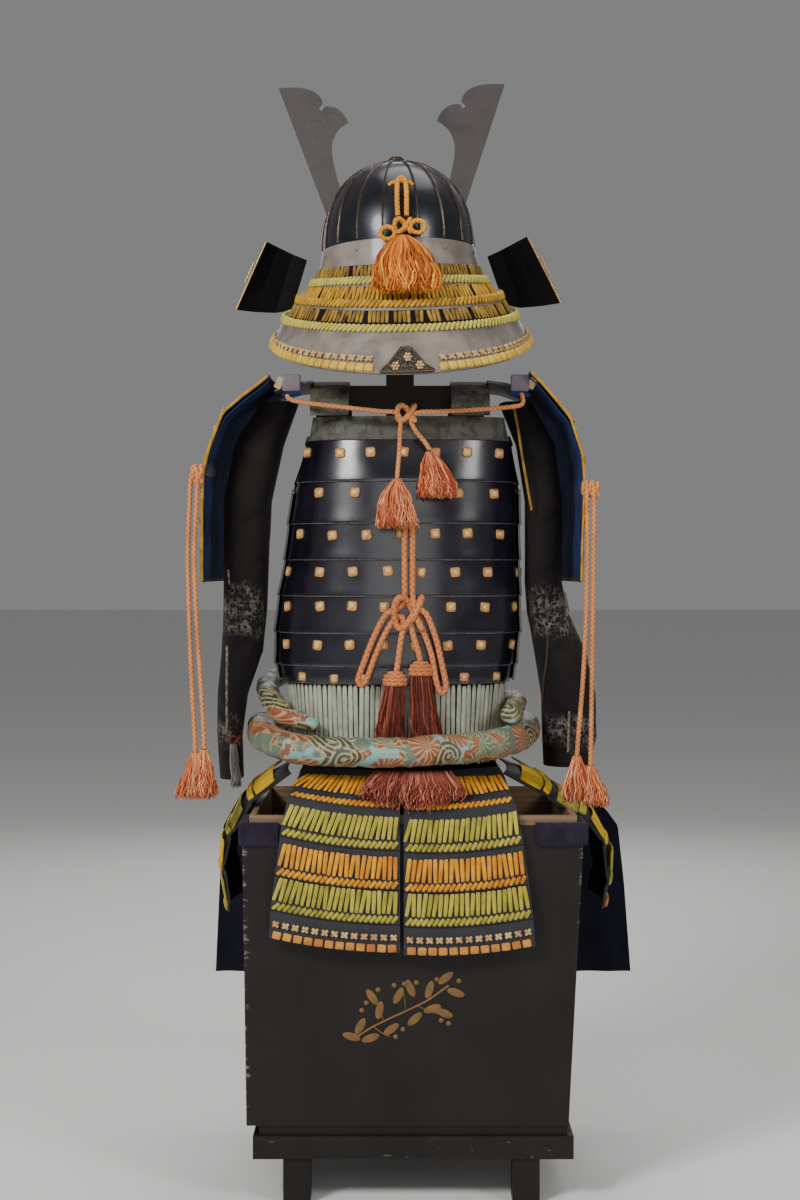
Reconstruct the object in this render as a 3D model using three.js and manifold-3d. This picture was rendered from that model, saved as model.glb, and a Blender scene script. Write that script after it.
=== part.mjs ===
// A laced samurai armour, standing on its lacquered armour chest.
// Millimetres, +Z up. The back of the armour faces -Y and its front +Y.
// The wearer's right is +X. The origin is under the middle of the whole, on the floor.

import * as THREE from 'three';
import { mergeVertices } from 'three/addons/utils/BufferGeometryUtils.js';
import Module from 'manifold-3d';

const wasm = await Module();
wasm.setup();

// ---------------------------------------------------------------- driving dimensions

const GAP = 0.3;                 // clear space between touching pieces
const PLATE = 3;                 // wall of lacquered plate
const CLOTH = 2;                 // wall of plain cloth
const LACED = 5;                 // laced lames with their lacing
const HALF_TURN = Math.PI;
const DEGREE = Math.PI / 180;

// Cuirass: reach of the section to each side of the middle, at each height.
const SECTION_POWER = 0.8;
const CUIRASS = [
  { z: 700, left: -167, right: 156, back: 113, front: 116 },
  { z: 724, left: -174, right: 162, back: 116, front: 120 },
  { z: 770, left: -175, right: 168, back: 120, front: 124 },
  { z: 822, left: -170, right: 168, back: 122, front: 128 },
  { z: 873, left: -161, right: 167, back: 122, front: 130 },
  { z: 924, left: -156, right: 167, back: 120, front: 128 },
  { z: 983, left: -149, right: 168, back: 116, front: 122 },
  { z: 1042, left: -144, right: 172, back: 108, front: 112 },
  { z: 1076, left: -142, right: 170, back: 100, front: 104 },
];
const LAME_EDGES = [700, 724, 770, 822, 873, 924, 983, 1042];
const BAND_TOP = 1076;
const FRONT_TOP = 1058;
const LAME_STEP = 1.6;           // each lame's lower edge stands proud of the next
const FRONT_PROUD = 6.5;         // the front half laps outside the back half
const FRONT_LAP = 6 * DEGREE;
const HALF_COLUMNS = 16;
const ARMHOLE = { z: 1070, halfDepth: 62, halfHeight: 100 };

// Ring of laces that hangs below the plates.
const LACES = [
  { z: 585, left: -149, right: 140, back: 104, front: 106 },
  { z: 645, left: -156, right: 147, back: 107, front: 109 },
  { z: 699.4, left: -163, right: 153, back: 110, front: 112 },
];
const RING_COLUMNS = 28;

// Skirt panels: `out` is how far a row stands from the middle, `bow` how far its outer end falls back.
const BACK_SKIRT = [
  { z: 584, out: 113, bow: 46, inner: 1, outer: 136 },
  { z: 572, out: 138, bow: 42, inner: 1, outer: 142 },
  { z: 550, out: 169, bow: 24, inner: 1, outer: 148 },
  { z: 524, out: 197, bow: 8, inner: 1, outer: 157 },
  { z: 484, out: 203, bow: 6, inner: 1, outer: 163 },
  { z: 432, out: 206, bow: 6, inner: 1, outer: 170 },
  { z: 385, out: 209, bow: 6, inner: 1, outer: 176 },
  { z: 345, out: 212, bow: 6, inner: 1, outer: 178 },
];
const FRONT_SKIRT = [
  { z: 584, out: 115, bow: 46, inner: 1, outer: 138 },
  { z: 572, out: 142, bow: 40, inner: 1, outer: 144 },
  { z: 550, out: 176, bow: 24, inner: 1, outer: 150 },
  { z: 526, out: 212, bow: 9, inner: 1, outer: 158 },
  { z: 500, out: 226, bow: 4, inner: 1, outer: 163 },
  { z: 432, out: 229, bow: 4, inner: 1, outer: 170 },
  { z: 345, out: 232, bow: 4, inner: 1, outer: 178 },
];
const SKIRT_HEADS = [536, 485, 432, 386];
const HEAD_PROUD = 2.6;          // a lame's plaited head stands proud by this
const HEAD_HEIGHT = 12;
const PANELS = [
  { name: 'skirt_back_left', table: BACK_SKIRT, facing: -1, side: -1, shift: 1, rise: 19, low: 0, drop: 0 },
  {
    name: 'skirt_back_right', table: BACK_SKIRT, facing: -1, side: 1, shift: 4, rise: 12, low: 0.25, drop: -4,
  },
  { name: 'skirt_front_left', table: FRONT_SKIRT, facing: 1, side: -1, shift: 0, rise: 14, low: 0, drop: 0 },
  { name: 'skirt_front_right', table: FRONT_SKIRT, facing: 1, side: 1, shift: 0, rise: 14, low: 0, drop: 0 },
];
const PANEL_COLUMNS = 6;

// Side skirt panels and shoulder guards: their profile seen from behind.
const SIDE_SKIRT_LEFT = [
  { z: 584, x: 154 }, { z: 577, x: 176 }, { z: 558, x: 202 }, { z: 535, x: 222 }, { z: 503, x: 237 },
  { z: 479, x: 247 }, { z: 449, x: 249 }, { z: 418, x: 246 }, { z: 382, x: 240 },
];
const SIDE_SKIRT_RIGHT = [
  { z: 584, x: 146 }, { z: 577, x: 174 }, { z: 562, x: 202 }, { z: 546, x: 226 }, { z: 519, x: 268 },
  { z: 484, x: 285 }, { z: 449, x: 295 }, { z: 417, x: 292 }, { z: 384, x: 287 },
];
const GUARD_LEFT = [
  { z: 1133, x: 183 }, { z: 1120, x: 198 }, { z: 1104, x: 220 }, { z: 1080, x: 248 }, { z: 1034, x: 266 },
  { z: 1000, x: 275 }, { z: 945, x: 277 }, { z: 895, x: 277 }, { z: 843, x: 277 },
];
const GUARD_RIGHT = [
  { z: 1138, x: 182 }, { z: 1122, x: 198 }, { z: 1100, x: 217 }, { z: 1074, x: 238 }, { z: 1023, x: 255 },
  { z: 990, x: 258 }, { z: 945, x: 257 }, { z: 895, x: 255 }, { z: 843, x: 254 },
];
const GUARD = { back: -112, front: 116, skew: 20, bow: 8, wall: 3.5, lining: 1.5, step: 1.8 };
const SIDE_SKIRT = { back: -92, front: 78, skew: 4, bow: 10, wall: LACED, step: 1.6 };
const SHEET_COLUMNS = 5;

// Sleeves: middle and half sizes of the tube at each height.
const SLEEVE_LEFT = [
  { z: 560, x: -243, y: 0, halfX: 17, halfY: 42 },
  { z: 620, x: -246, y: -4, halfX: 18, halfY: 45 },
  { z: 680, x: -242, y: -6, halfX: 22, halfY: 47 },
  { z: 740, x: -229, y: -4, halfX: 30, halfY: 50 },
  { z: 800, x: -225, y: 0, halfX: 32, halfY: 54 },
  { z: 880, x: -223, y: 2, halfX: 33, halfY: 56 },
  { z: 960, x: -220, y: 0, halfX: 35, halfY: 59 },
  { z: 1040, x: -203, y: 0, halfX: 36, halfY: 62 },
  { z: 1100, x: -174, y: 0, halfX: 28, halfY: 58 },
];
const SLEEVE_RIGHT = [
  { z: 578, x: 242, y: 0, halfX: 34, halfY: 44 },
  { z: 620, x: 246, y: -4, halfX: 40, halfY: 48 },
  { z: 680, x: 244, y: -6, halfX: 40, halfY: 50 },
  { z: 740, x: 232, y: -4, halfX: 38, halfY: 52 },
  { z: 800, x: 213, y: 0, halfX: 30, halfY: 54 },
  { z: 842, x: 207, y: 0, halfX: 27, halfY: 56 },
  { z: 960, x: 207, y: 0, halfX: 27, halfY: 59 },
  { z: 1040, x: 196, y: 0, halfX: 28, halfY: 62 },
  { z: 1100, x: 168, y: 0, halfX: 24, halfY: 56 },
];
const SLEEVE_COLUMNS = 12;

// Shoulder straps and the small wings beside them.
const STRAP = { inner: 72, outer: 126, back: -101, front: 105, foot: 1076.6, crown: 1131, wall: 4.5 };
const WING = { inner: 122, outer: 176, back: -96, front: 90, high: 1126, low: 1113, wall: 3 };

// Padded sash.
const SASH = { left: -200, right: 181, back: 165, front: 162, z: 611.5, tilt: 0.03, climb: 21, radius: 23 };
const SASH_STEPS = 18;
const SASH_SIDES = 10;
const SASH_END_LEFT = [
  { x: -172, y: 108, z: 700, r: 15 }, { x: -191, y: 55, z: 695, r: 16.5 }, { x: -193, y: 5, z: 689, r: 17.5 },
  { x: -184, y: -42, z: 675, r: 18 }, { x: -166, y: -80, z: 659, r: 18 }, { x: -143, y: -101, z: 650, r: 15 },
  { x: -114, y: -110, z: 641, r: 12 },
];
const SASH_END_RIGHT = [
  { x: 148, y: 92, z: 668, r: 12 }, { x: 165, y: 45, z: 670, r: 14 }, { x: 168, y: -15, z: 669.5, r: 15 },
  { x: 165, y: -55, z: 669, r: 16 }, { x: 159, y: -90, z: 664, r: 16 }, { x: 152, y: -122, z: 658, r: 16.5 },
];

// Helmet, in its own frame: origin at the middle of the bowl's rim.
const HELMET = { x: -2, y: 0, z: 1322, roll: -1.4 * DEGREE, yaw: 1.6 * DEGREE };
const BOWL = { halfWidth: 109, halfDepth: 127, height: 126, power: 2 / 2.2, columns: 28, rows: 7 };
const GUARD_END = 112 * DEGREE;  // how far round from the back the neck guard runs
const NECK = {
  bowl_band: [
    { a: 111, b: 129, z: -1, rise: 0 }, { a: 114, b: 133, z: -28, rise: 8 },
    { a: 120, b: 140, z: -58, rise: 15 },
  ],
  neck_lame_1: [
    { a: 124.5, b: 144, z: -55, rise: 15 }, { a: 130, b: 150, z: -72, rise: 19 },
    { a: 140, b: 161, z: -94, rise: 27 },
  ],
  neck_lame_2: [
    { a: 145.5, b: 166.5, z: -92, rise: 31 }, { a: 151, b: 172, z: -109, rise: 34 },
    { a: 161, b: 184, z: -132, rise: 38 },
  ],
  neck_lame_3: [
    { a: 166.5, b: 189.5, z: -129, rise: 40 }, { a: 173, b: 200, z: -149, rise: 45 },
    { a: 181, b: 215, z: -174, rise: 55 }, { a: 187, b: 231, z: -199, rise: 67 },
  ],
};
const NECK_COLUMNS = 20;
const TURN_BACK = [
  { t: 0, top: { x: 134, y: 70, z: 0 }, foot: { x: 158, y: 72, z: -74 } },
  { t: 0.35, top: { x: 155, y: 78, z: 10 }, foot: { x: 184, y: 78, z: -76 } },
  { t: 0.7, top: { x: 176, y: 72, z: 20 }, foot: { x: 214, y: 70, z: -75 } },
  { t: 1, top: { x: 193, y: 58, z: 27 }, foot: { x: 240, y: 56, z: -73 } },
];
const TURN_BACK_WALL = 2.5;
const VISOR = { reach: 38, drop: 20, from: 28 * DEGREE, columns: 14, wall: 3 };
const HOLDER = { halfWidth: 74, y: 134, depth: 5, foot: -10, top: 44 };
const HORN = { y: 139.4, wall: 2.4 };
const FITTING = { halfWidth: 44, rise: 42, wall: 1.6 };

// Chest, with the sides leaning in towards the foot.
const CHEST = {
  top: { z: 513, left: -214.5, right: 250, back: -185, front: 195 },
  foot: { z: 104, left: -209, right: 229.5, back: -178, front: 188 },
  wall: 9,
  floor: 12,
};
const LIP = { foot: 470, top: 526, wall: 8 };
const BASE = { left: -200, right: 236, back: -183, front: 192, foot: 60, ledge: 91, top: 103.7, recess: 8 };
const FEET = [[-159, -122], [153, 190]];
const FOOT_DEPTH = 42;
const RIM_CLOTH = { foot: 487, top: 517.5, wall: 5, clear: 0.4, cover: 8.4, left: -165, right: 184 };
const APRON = [
  { z: 236, left: -286, right: 358 },
  { z: 370, left: -280, right: 348 },
  { z: 462, left: -274, right: 338 },
  { z: 484, left: -262, right: 322 },
  { z: 512, left: -246, right: 296 },
];
const APRON_FOLDS = [
  { at: 0.03, width: 0.03, depth: 6 }, { at: 0.13, width: 0.05, depth: 4 },
  { at: 0.29, width: 0.045, depth: 5 }, { at: 0.44, width: 0.05, depth: 3 },
  { at: 0.62, width: 0.05, depth: 5 }, { at: 0.77, width: 0.04, depth: 4 },
  { at: 0.9, width: 0.04, depth: 6 }, { at: 0.985, width: 0.03, depth: 5 },
];
const APRON_Y = 202.5;
const APRON_COLUMNS = 30;

// Stand inside the armour, on the floor of the chest.
const STAND = { x: 12, postX: 40, postY: 28, boardX: 260, boardY: 200, board: 18, barX: 116, barY: 26 };
const HEAD_BLOCK = [[0, 1385], [52, 1385], [56, 1398], [50, 1414], [38, 1428], [20, 1437], [0, 1441]];

// Cords: diameters and routes.
const CORD = { back: 6.4, side: 6.4, bow: 8.4, helmet: 7 };
const CORD_SIDES = 8;
const SIDE_CORDS = {
  side_cord_left_1: [
    [-284, -118, 1004], [-290, -123, 990], [-292, -126, 950], [-294, -128, 890], [-293, -128, 830],
    [-291, -128, 760], [-288, -128, 690], [-285, -128, 640], [-284, -128, 607],
  ],
  side_cord_left_2: [
    [-282, -126, 999], [-281, -130, 975], [-283, -131, 930], [-285, -132, 880], [-283, -132, 820],
    [-279, -132, 750], [-275, -132, 690], [-272, -132, 640], [-271, -132, 613],
  ],
  side_cord_right_1: [
    [260, -119, 982], [259.5, -124, 955], [260, -127, 900], [259, -128, 840], [257, -128, 770],
    [253, -128, 700], [248, -128, 640], [245, -128, 601],
  ],
  side_cord_right_2: [
    [269, -119, 980], [269.5, -124, 953], [269, -127, 900], [268, -128, 840], [267, -128, 770],
    [266, -128, 700], [265, -128, 640], [264, -128, 588],
  ],
};
const BACK_CORDS = {
  back_cord_left: [
    [-158, -101, 1104], [-150, -108, 1097], [-118, -118, 1091], [-70, -126, 1085], [-28, -133, 1080],
    [-6, -137, 1078], [0.5, -139, 1068], [0, -137, 1050], [-1, -133, 1024], [-3, -131, 1000], [-4, -130, 986],
  ],
  back_cord_right: [
    [170, -101, 1107], [171, -107, 1092], [150, -113, 1087], [104, -121, 1083], [58, -129, 1080],
    [24, -136, 1078], [15, -138, 1068], [22, -136, 1052], [34, -132, 1038], [41, -130, 1027],
  ],
};
const BACK_KNOT = { x: 8, y: -138, z: 1076, halfX: 14, halfY: 10, halfZ: 12 };
const BOW_RING = { x: 12, y: -124.6, z: 919, radius: 13, wire: 3.2 };
const BOW_STRANDS = [
  [6.3, -131, 826], [6.3, -130, 850], [6.3, -130, 880], [6.4, -131, 905], [8, -133.5, 922], [12, -134.5, 928],
  [16, -133.5, 922], [17.5, -131, 905], [17.5, -130, 880], [17.5, -130, 850], [17.5, -131, 826],
];
const BOW_KNOT = { x: 10, y: -133, z: 801, halfX: 21, halfY: 10, halfZ: 24 };
const BOW_LOOPS = [
  [[-2, -134, 806], [-20, -137, 798], [-36, -138, 768], [-50, -138, 732], [-58, -138, 708], [-53, -137, 701],
    [-46, -135, 710], [-35, -134, 740], [-20, -133, 774], [0, -133, 796]],
  [[20, -134, 806], [36, -137, 800], [49, -138, 768], [58, -138, 730], [64, -138, 698], [58, -137, 690],
    [51, -135, 704], [44, -134, 742], [32, -133, 776], [16, -133, 796]],
  [[5, -135, 784], [1, -134, 762], [-2, -133, 740], [-5, -132, 718]],
  [[15, -135, 784], [20, -134, 764], [25, -133, 748], [28, -132, 734]],
];
const BOW_LOOP_STEPS = 18;
const HELMET_CORD = [
  [-4, -134.5, 28], [-4.5, -130, 46], [-4, -121, 64], [-3, -110, 78], [-1, -103, 85], [3, -101.5, 87.5],
  [7, -103, 85], [8.5, -110, 78], [9, -121, 64], [8.5, -130, 46], [8, -134.5, 28],
];
const HELMET_KNOT = { x: 2, y: -138, z: 8, halfX: 17, halfY: 9, halfZ: 17 };

// Tassels: half width, half depth and middle of the solid of their threads, from the neck down.
const TASSELS = {
  side_tassels_left: [
    { x: -278, y: -130, z: 603, halfX: 11, halfY: 7 }, { x: -279, y: -130, z: 585, halfX: 21, halfY: 12 },
    { x: -281, y: -130, z: 560, halfX: 27, halfY: 15 }, { x: -282, y: -130, z: 540, halfX: 28, halfY: 15 },
  ],
  side_tassels_right: [
    { x: 254, y: -130, z: 586, halfX: 14, halfY: 7 }, { x: 254, y: -130, z: 570, halfX: 24, halfY: 12 },
    { x: 256, y: -130, z: 548, halfX: 33, halfY: 14 }, { x: 259, y: -130, z: 529, halfX: 32, halfY: 14 },
  ],
  back_tassel_left: [
    { x: -4, y: -131, z: 984, halfX: 7, halfY: 6 }, { x: -6, y: -137, z: 968, halfX: 20, halfY: 8 },
    { x: -6, y: -145, z: 940, halfX: 28, halfY: 8 }, { x: -5, y: -149, z: 915, halfX: 31, halfY: 8 },
  ],
  back_tassel_right: [
    { x: 41.5, y: -130, z: 1022, halfX: 7, halfY: 6 }, { x: 46, y: -131, z: 1008, halfX: 18, halfY: 10 },
    { x: 52, y: -132, z: 980, halfX: 27, halfY: 11 }, { x: 54, y: -132, z: 957, halfX: 29, halfY: 11 },
  ],
  bow_tassel_left: [
    { x: -6, y: -132, z: 717, halfX: 13, halfY: 11 }, { x: -7, y: -132, z: 697, halfX: 16, halfY: 12 },
    { x: -12, y: -130, z: 660, halfX: 18, halfY: 10 }, { x: -16, y: -126, z: 600, halfX: 22, halfY: 8 },
  ],
  bow_tassel_right: [
    { x: 28, y: -132, z: 732, halfX: 14, halfY: 11 }, { x: 29, y: -132, z: 708, halfX: 17, halfY: 12 },
    { x: 33, y: -130, z: 664, halfX: 19, halfY: 10 }, { x: 40, y: -126, z: 600, halfX: 24, halfY: 8 },
  ],
};
const HELMET_TASSEL = [
  { x: 2, y: -141, z: -2, halfX: 9, halfY: 7 }, { x: 3, y: -153, z: -30, halfX: 34, halfY: 10 },
  { x: 4, y: -165, z: -56, halfX: 49, halfY: 12 }, { x: 5, y: -184, z: -88, halfX: 42, halfY: 11 },
];
const FRINGE = [
  { z: 584, y: -151.5, left: -34, right: 70, half: 4.5 },
  { z: 562, y: -167, left: -56, right: 88, half: 7 },
  { z: 534, y: -200, left: -50, right: 84, half: 6 },
];
const FRINGE_SIDES = 20;
const FRINGE_POWER = 0.6;        // squares off the fringe's rounded section
const TASSEL_SIDES = 10;
const ROUND_END = 0.35;

const FINISH = {
  bowl: { color: 0x1d1e22, roughness: 0.3, metalness: 0.6 },
  taupe: { color: 0x8f8780, roughness: 0.55, metalness: 0.1 },
  horn: { color: 0x55504c, roughness: 0.5, metalness: 0.5 },
  lacquer: { color: 0x1b1a20, roughness: 0.25, metalness: 0 },
  leather: { color: 0x5a5a42, roughness: 0.7, metalness: 0 },
  laces: { color: 0xb9bba2, roughness: 0.8, metalness: 0 },
  skirt: { color: 0x45454b, roughness: 0.5, metalness: 0 },
  lining: { color: 0x2a3560, roughness: 0.9, metalness: 0 },
  sleeve: { color: 0x231d1c, roughness: 0.9, metalness: 0 },
  sash: { color: 0xa9d3cf, roughness: 0.6, metalness: 0 },
  peach: { color: 0xe0a878, roughness: 0.8, metalness: 0 },
  orange: { color: 0xe8a23f, roughness: 0.8, metalness: 0 },
  brick: { color: 0x8a3d2c, roughness: 0.85, metalness: 0 },
  brass: { color: 0xb08a4a, roughness: 0.4, metalness: 0.9 },
  indigo: { color: 0x1c1a2c, roughness: 0.9, metalness: 0 },
  chest: { color: 0x241f1d, roughness: 0.4, metalness: 0 },
  wood: { color: 0xa98a63, roughness: 0.7, metalness: 0 },
};

// ---------------------------------------------------------------- solids

const armour = new THREE.Group();
const helmet = new THREE.Group();
armour.add(helmet);
const cordPieces = [];

function add(parent, name, geometry, finish, onCord = false) {
  const mesh = new THREE.Mesh(geometry, new THREE.MeshStandardMaterial(FINISH[finish]));
  mesh.name = name;
  parent.add(mesh);
  if (onCord) {
    cordPieces.push(mesh);
  }
}

function steps(from, to, count) {
  return Array.from({ length: count + 1 }, (_, i) => from + ((to - from) * i) / count);
}

function signedPower(value, power) {
  return Math.sign(value) * Math.abs(value) ** power;
}

// Walks two rows of points together and fills the strip between them.
function fillStrip(points, faces, a, b) {
  const progress = (row) => {
    const run = [0];
    for (let i = 1; i < row.length; i += 1) {
      run.push(run[i - 1] + points[row[i]].distanceTo(points[row[i - 1]]));
    }
    const whole = run[run.length - 1];
    return run.map((length, i) => (whole > 0 ? length / whole : i / (row.length - 1)));
  };
  const alongA = progress(a);
  const alongB = progress(b);
  let i = 0;
  let j = 0;
  while (i < a.length - 1 || j < b.length - 1) {
    const stepA = j === b.length - 1 || (i < a.length - 1 && alongA[i + 1] <= alongB[j + 1]);
    if (stepA) {
      faces.push([a[i], a[i + 1], b[j]]);
      i += 1;
    } else {
      faces.push([a[i], b[j + 1], b[j]]);
      j += 1;
    }
  }
}

function volumeOf(points, faces) {
  return faces.reduce((sum, [p, q, r]) => sum + points[p].dot(points[q].clone().cross(points[r])), 0);
}

function solidFrom(points, faces) {
  const outward = volumeOf(points, faces) < 0 ? faces.map(([p, q, r]) => [p, r, q]) : faces;
  const geometry = new THREE.BufferGeometry();
  geometry.setAttribute('position', new THREE.Float32BufferAttribute(points.flatMap((p) => p.toArray()), 3));
  geometry.setIndex(outward.flat());
  geometry.computeVertexNormals();
  return geometry;
}

// A wall between an outer and an inner grid of points. A ring closes on itself.
function wall(outer, inner, ring = false) {
  const points = [];
  const faces = [];
  const number = (grid) => grid.map((row) => {
    const indices = row.map((point) => points.push(point) - 1);
    return ring ? [...indices, indices[0]] : indices;
  });
  const out = number(outer);
  const back = number(inner);
  for (let r = 0; r < out.length - 1; r += 1) {
    fillStrip(points, faces, out[r], out[r + 1]);
  }
  for (let r = 0; r < back.length - 1; r += 1) {
    fillStrip(points, faces, back[r + 1], back[r]);
  }
  fillStrip(points, faces, back[0], out[0]);
  fillStrip(points, faces, out[out.length - 1], back[back.length - 1]);
  if (!ring) {
    const last = (rows) => rows.map((row) => row[row.length - 1]);
    const first = (rows) => rows.map((row) => row[0]);
    fillStrip(points, faces, first(out), first(back));
    fillStrip(points, faces, last(back), last(out));
  }
  return solidFrom(points, faces);
}

// A solid through closed rings of points, with a flat end at each end.
function ringSolid(rings) {
  const points = [];
  const faces = [];
  const numbered = rings.map((ring) => {
    const indices = ring.map((point) => points.push(point) - 1);
    return [...indices, indices[0]];
  });
  for (let r = 0; r < numbered.length - 1; r += 1) {
    fillStrip(points, faces, numbered[r], numbered[r + 1]);
  }
  const capEnd = (ring, flip) => {
    for (let i = 1; i < ring.length - 2; i += 1) {
      faces.push(flip ? [ring[0], ring[i + 1], ring[i]] : [ring[0], ring[i], ring[i + 1]]);
    }
  };
  capEnd(numbered[0], true);
  capEnd(numbered[numbered.length - 1], false);
  return solidFrom(points, faces);
}

function toManifold(geometry) {
  const bare = geometry.clone();
  bare.deleteAttribute('normal');
  bare.deleteAttribute('uv');
  const merged = mergeVertices(bare, 1e-4);
  return new wasm.Manifold(new wasm.Mesh({
    numProp: 3,
    vertProperties: new Float32Array(merged.attributes.position.array),
    triVerts: new Uint32Array(merged.index.array),
  }));
}

function fromManifold(solid) {
  const mesh = solid.getMesh();
  const geometry = new THREE.BufferGeometry();
  geometry.setAttribute('position', new THREE.BufferAttribute(new Float32Array(mesh.vertProperties), 3));
  geometry.setIndex([...mesh.triVerts]);
  geometry.computeVertexNormals();
  return geometry;
}

function box(left, right, back, front, foot, top) {
  const geometry = new THREE.BoxGeometry(right - left, front - back, top - foot);
  geometry.translate((left + right) / 2, (back + front) / 2, (foot + top) / 2);
  return geometry;
}

function roundSection(diameter, sides) {
  const shape = new THREE.Shape();
  for (let i = 0; i < sides; i += 1) {
    const angle = (2 * HALF_TURN * i) / sides;
    const x = (Math.cos(angle) * diameter) / 2;
    const y = (Math.sin(angle) * diameter) / 2;
    if (i === 0) {
      shape.moveTo(x, y);
    } else {
      shape.lineTo(x, y);
    }
  }
  shape.closePath();
  return shape;
}

function cord(route, diameter, stepCount, sides = CORD_SIDES) {
  const path = new THREE.CatmullRomCurve3(route.map((p) => new THREE.Vector3(...p)));
  const section = roundSection(diameter, sides);
  return new THREE.ExtrudeGeometry(section, { steps: stepCount, extrudePath: path, curveSegments: 1 });
}

function cordSteps(route, diameter) {
  const path = new THREE.CatmullRomCurve3(route.map((p) => new THREE.Vector3(...p)));
  return Math.max(8, Math.round(path.getLength() / (3 * diameter)));
}

// ---------------------------------------------------------------- cuirass

function rowAt(table, z) {
  const upper = Math.max(1, table.findIndex((row) => row.z >= z));
  const high = table[upper];
  const low = table[upper - 1];
  const share = (z - low.z) / (high.z - low.z);
  const row = { z };
  for (const key of Object.keys(low).filter((name) => name !== 'z')) {
    row[key] = low[key] + (high[key] - low[key]) * share;
  }
  return row;
}

function sectionPoint(row, angle, proud) {
  const across = Math.cos(angle);
  const along = Math.sin(angle);
  const reachX = (across < 0 ? -row.left : row.right) + proud;
  const reachY = (along < 0 ? row.back : row.front) + proud;
  return new THREE.Vector3(
    signedPower(across, SECTION_POWER) * reachX, signedPower(along, SECTION_POWER) * reachY, row.z);
}

function sectionRows(table, heights, angles) {
  return heights.map(({ z, proud }) => angles.map((angle) => sectionPoint(rowAt(table, z), angle, proud)));
}

function lameHeights(top, proud) {
  const heights = [];
  const edges = LAME_EDGES.filter((z) => z < top - 1).concat(top);
  edges.slice(0, -1).forEach((foot, i) => {
    heights.push({ z: foot + (i === 0 ? 0 : 0.6), proud: proud + LAME_STEP });
    heights.push({ z: edges[i + 1], proud });
  });
  return heights;
}

function cutArmholes(geometry) {
  const hole = new THREE.CylinderGeometry(1, 1, 600, 28);
  hole.rotateZ(HALF_TURN / 2);
  hole.scale(1, ARMHOLE.halfDepth, ARMHOLE.halfHeight);
  hole.translate(0, 0, ARMHOLE.z);
  return fromManifold(toManifold(geometry).subtract(toManifold(hole)));
}

function cuirassHalf(angles, top, proud) {
  const outer = sectionRows(CUIRASS, lameHeights(top, proud), angles);
  const innerHeights = [700, 724, 770, 822, 873, 983, top].map((z) => ({ z, proud: proud - PLATE }));
  return cutArmholes(wall(outer, sectionRows(CUIRASS, innerHeights, angles)));
}

function makeCuirass() {
  const backAngles = steps(HALF_TURN * 1.004, HALF_TURN * 1.996, HALF_COLUMNS);
  const frontAngles = steps(-FRONT_LAP, HALF_TURN + FRONT_LAP, HALF_COLUMNS + 2);
  add(armour, 'cuirass_back', cuirassHalf(backAngles, 1042, 0), 'lacquer');
  add(armour, 'cuirass_front', cuirassHalf(frontAngles, FRONT_TOP, FRONT_PROUD), 'lacquer');
  const bandHeights = [{ z: 1042 + GAP, proud: 0.5 }, { z: BAND_TOP, proud: 0.5 }];
  const bandInner = bandHeights.map(({ z }) => ({ z, proud: -PLATE }));
  const band = wall(
    sectionRows(CUIRASS, bandHeights, backAngles), sectionRows(CUIRASS, bandInner, backAngles));
  add(armour, 'back_band', cutArmholes(band), 'leather');
  const around = steps(0, 2 * HALF_TURN, RING_COLUMNS).slice(0, -1);
  const ringHeights = LACES.map(({ z }) => ({ z, proud: 0 }));
  const ringInner = LACES.map(({ z }) => ({ z, proud: -PLATE }));
  add(armour, 'hanging_laces',
    wall(sectionRows(LACES, ringHeights, around), sectionRows(LACES, ringInner, around), true), 'laces');
}

// A strap arched over the shoulder, joined to the small wing that shields its outer edge.
function makeStrap(side, name) {
  const arch = (proud) => steps(0, HALF_TURN, 14).map((angle) => {
    const halfY = (Math.cos(angle) > 0 ? -STRAP.back : STRAP.front) - PLATE;
    const y = -signedPower(Math.cos(angle), SECTION_POWER) * (halfY + proud);
    const lift = Math.max(0, Math.sin(angle)) ** 0.75;
    const z = STRAP.foot + lift * (STRAP.crown - STRAP.foot - STRAP.wall + proud);
    return { y, z };
  });
  const grid = (proud) => [STRAP.inner, STRAP.outer].map((x) => arch(proud)
    .map((p) => new THREE.Vector3(side * x, p.y, p.z)));
  const strap = wall(grid(STRAP.wall), grid(0));
  const wingPoint = (t, y, drop) => new THREE.Vector3(
    side * (WING.inner + (WING.outer - WING.inner) * t), y, WING.high + (WING.low - WING.high) * t * t - drop);
  const wingGrid = (drop) => [0, 0.5, 1].map((t) => steps(WING.back, WING.front, 4)
    .map((y) => wingPoint(t, y, drop)));
  const wing = wall(wingGrid(0), wingGrid(WING.wall));
  add(armour, name, fromManifold(toManifold(strap).add(toManifold(wing))), 'leather');
}

// ---------------------------------------------------------------- skirt panels

// Adds a proud head and a sunken lacing row for each lame of a laced profile.
function lacedRows(table, heads, proud) {
  const rows = [];
  const levels = new Set([table[0].z, table[table.length - 1].z]);
  const stations = [];
  stations.push({ z: table[0].z, proud: 0 });
  for (const head of heads) {
    stations.push({ z: head + 7, proud: 0 });
    stations.push({ z: head + 5, proud });
    stations.push({ z: head + 5 - HEAD_HEIGHT, proud });
  }
  stations.push({ z: table[table.length - 1].z, proud: proud * 0.8 });
  for (const row of table) {
    if (!levels.has(row.z) && stations.every((s) => Math.abs(s.z - row.z) > 8)) {
      stations.push({ z: row.z, proud: 0 });
    }
  }
  stations.sort((p, q) => q.z - p.z);
  const rising = [...table].reverse();
  for (const station of stations) {
    rows.push({ ...rowAt(rising, station.z), proud: station.proud });
  }
  return rows;
}

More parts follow.
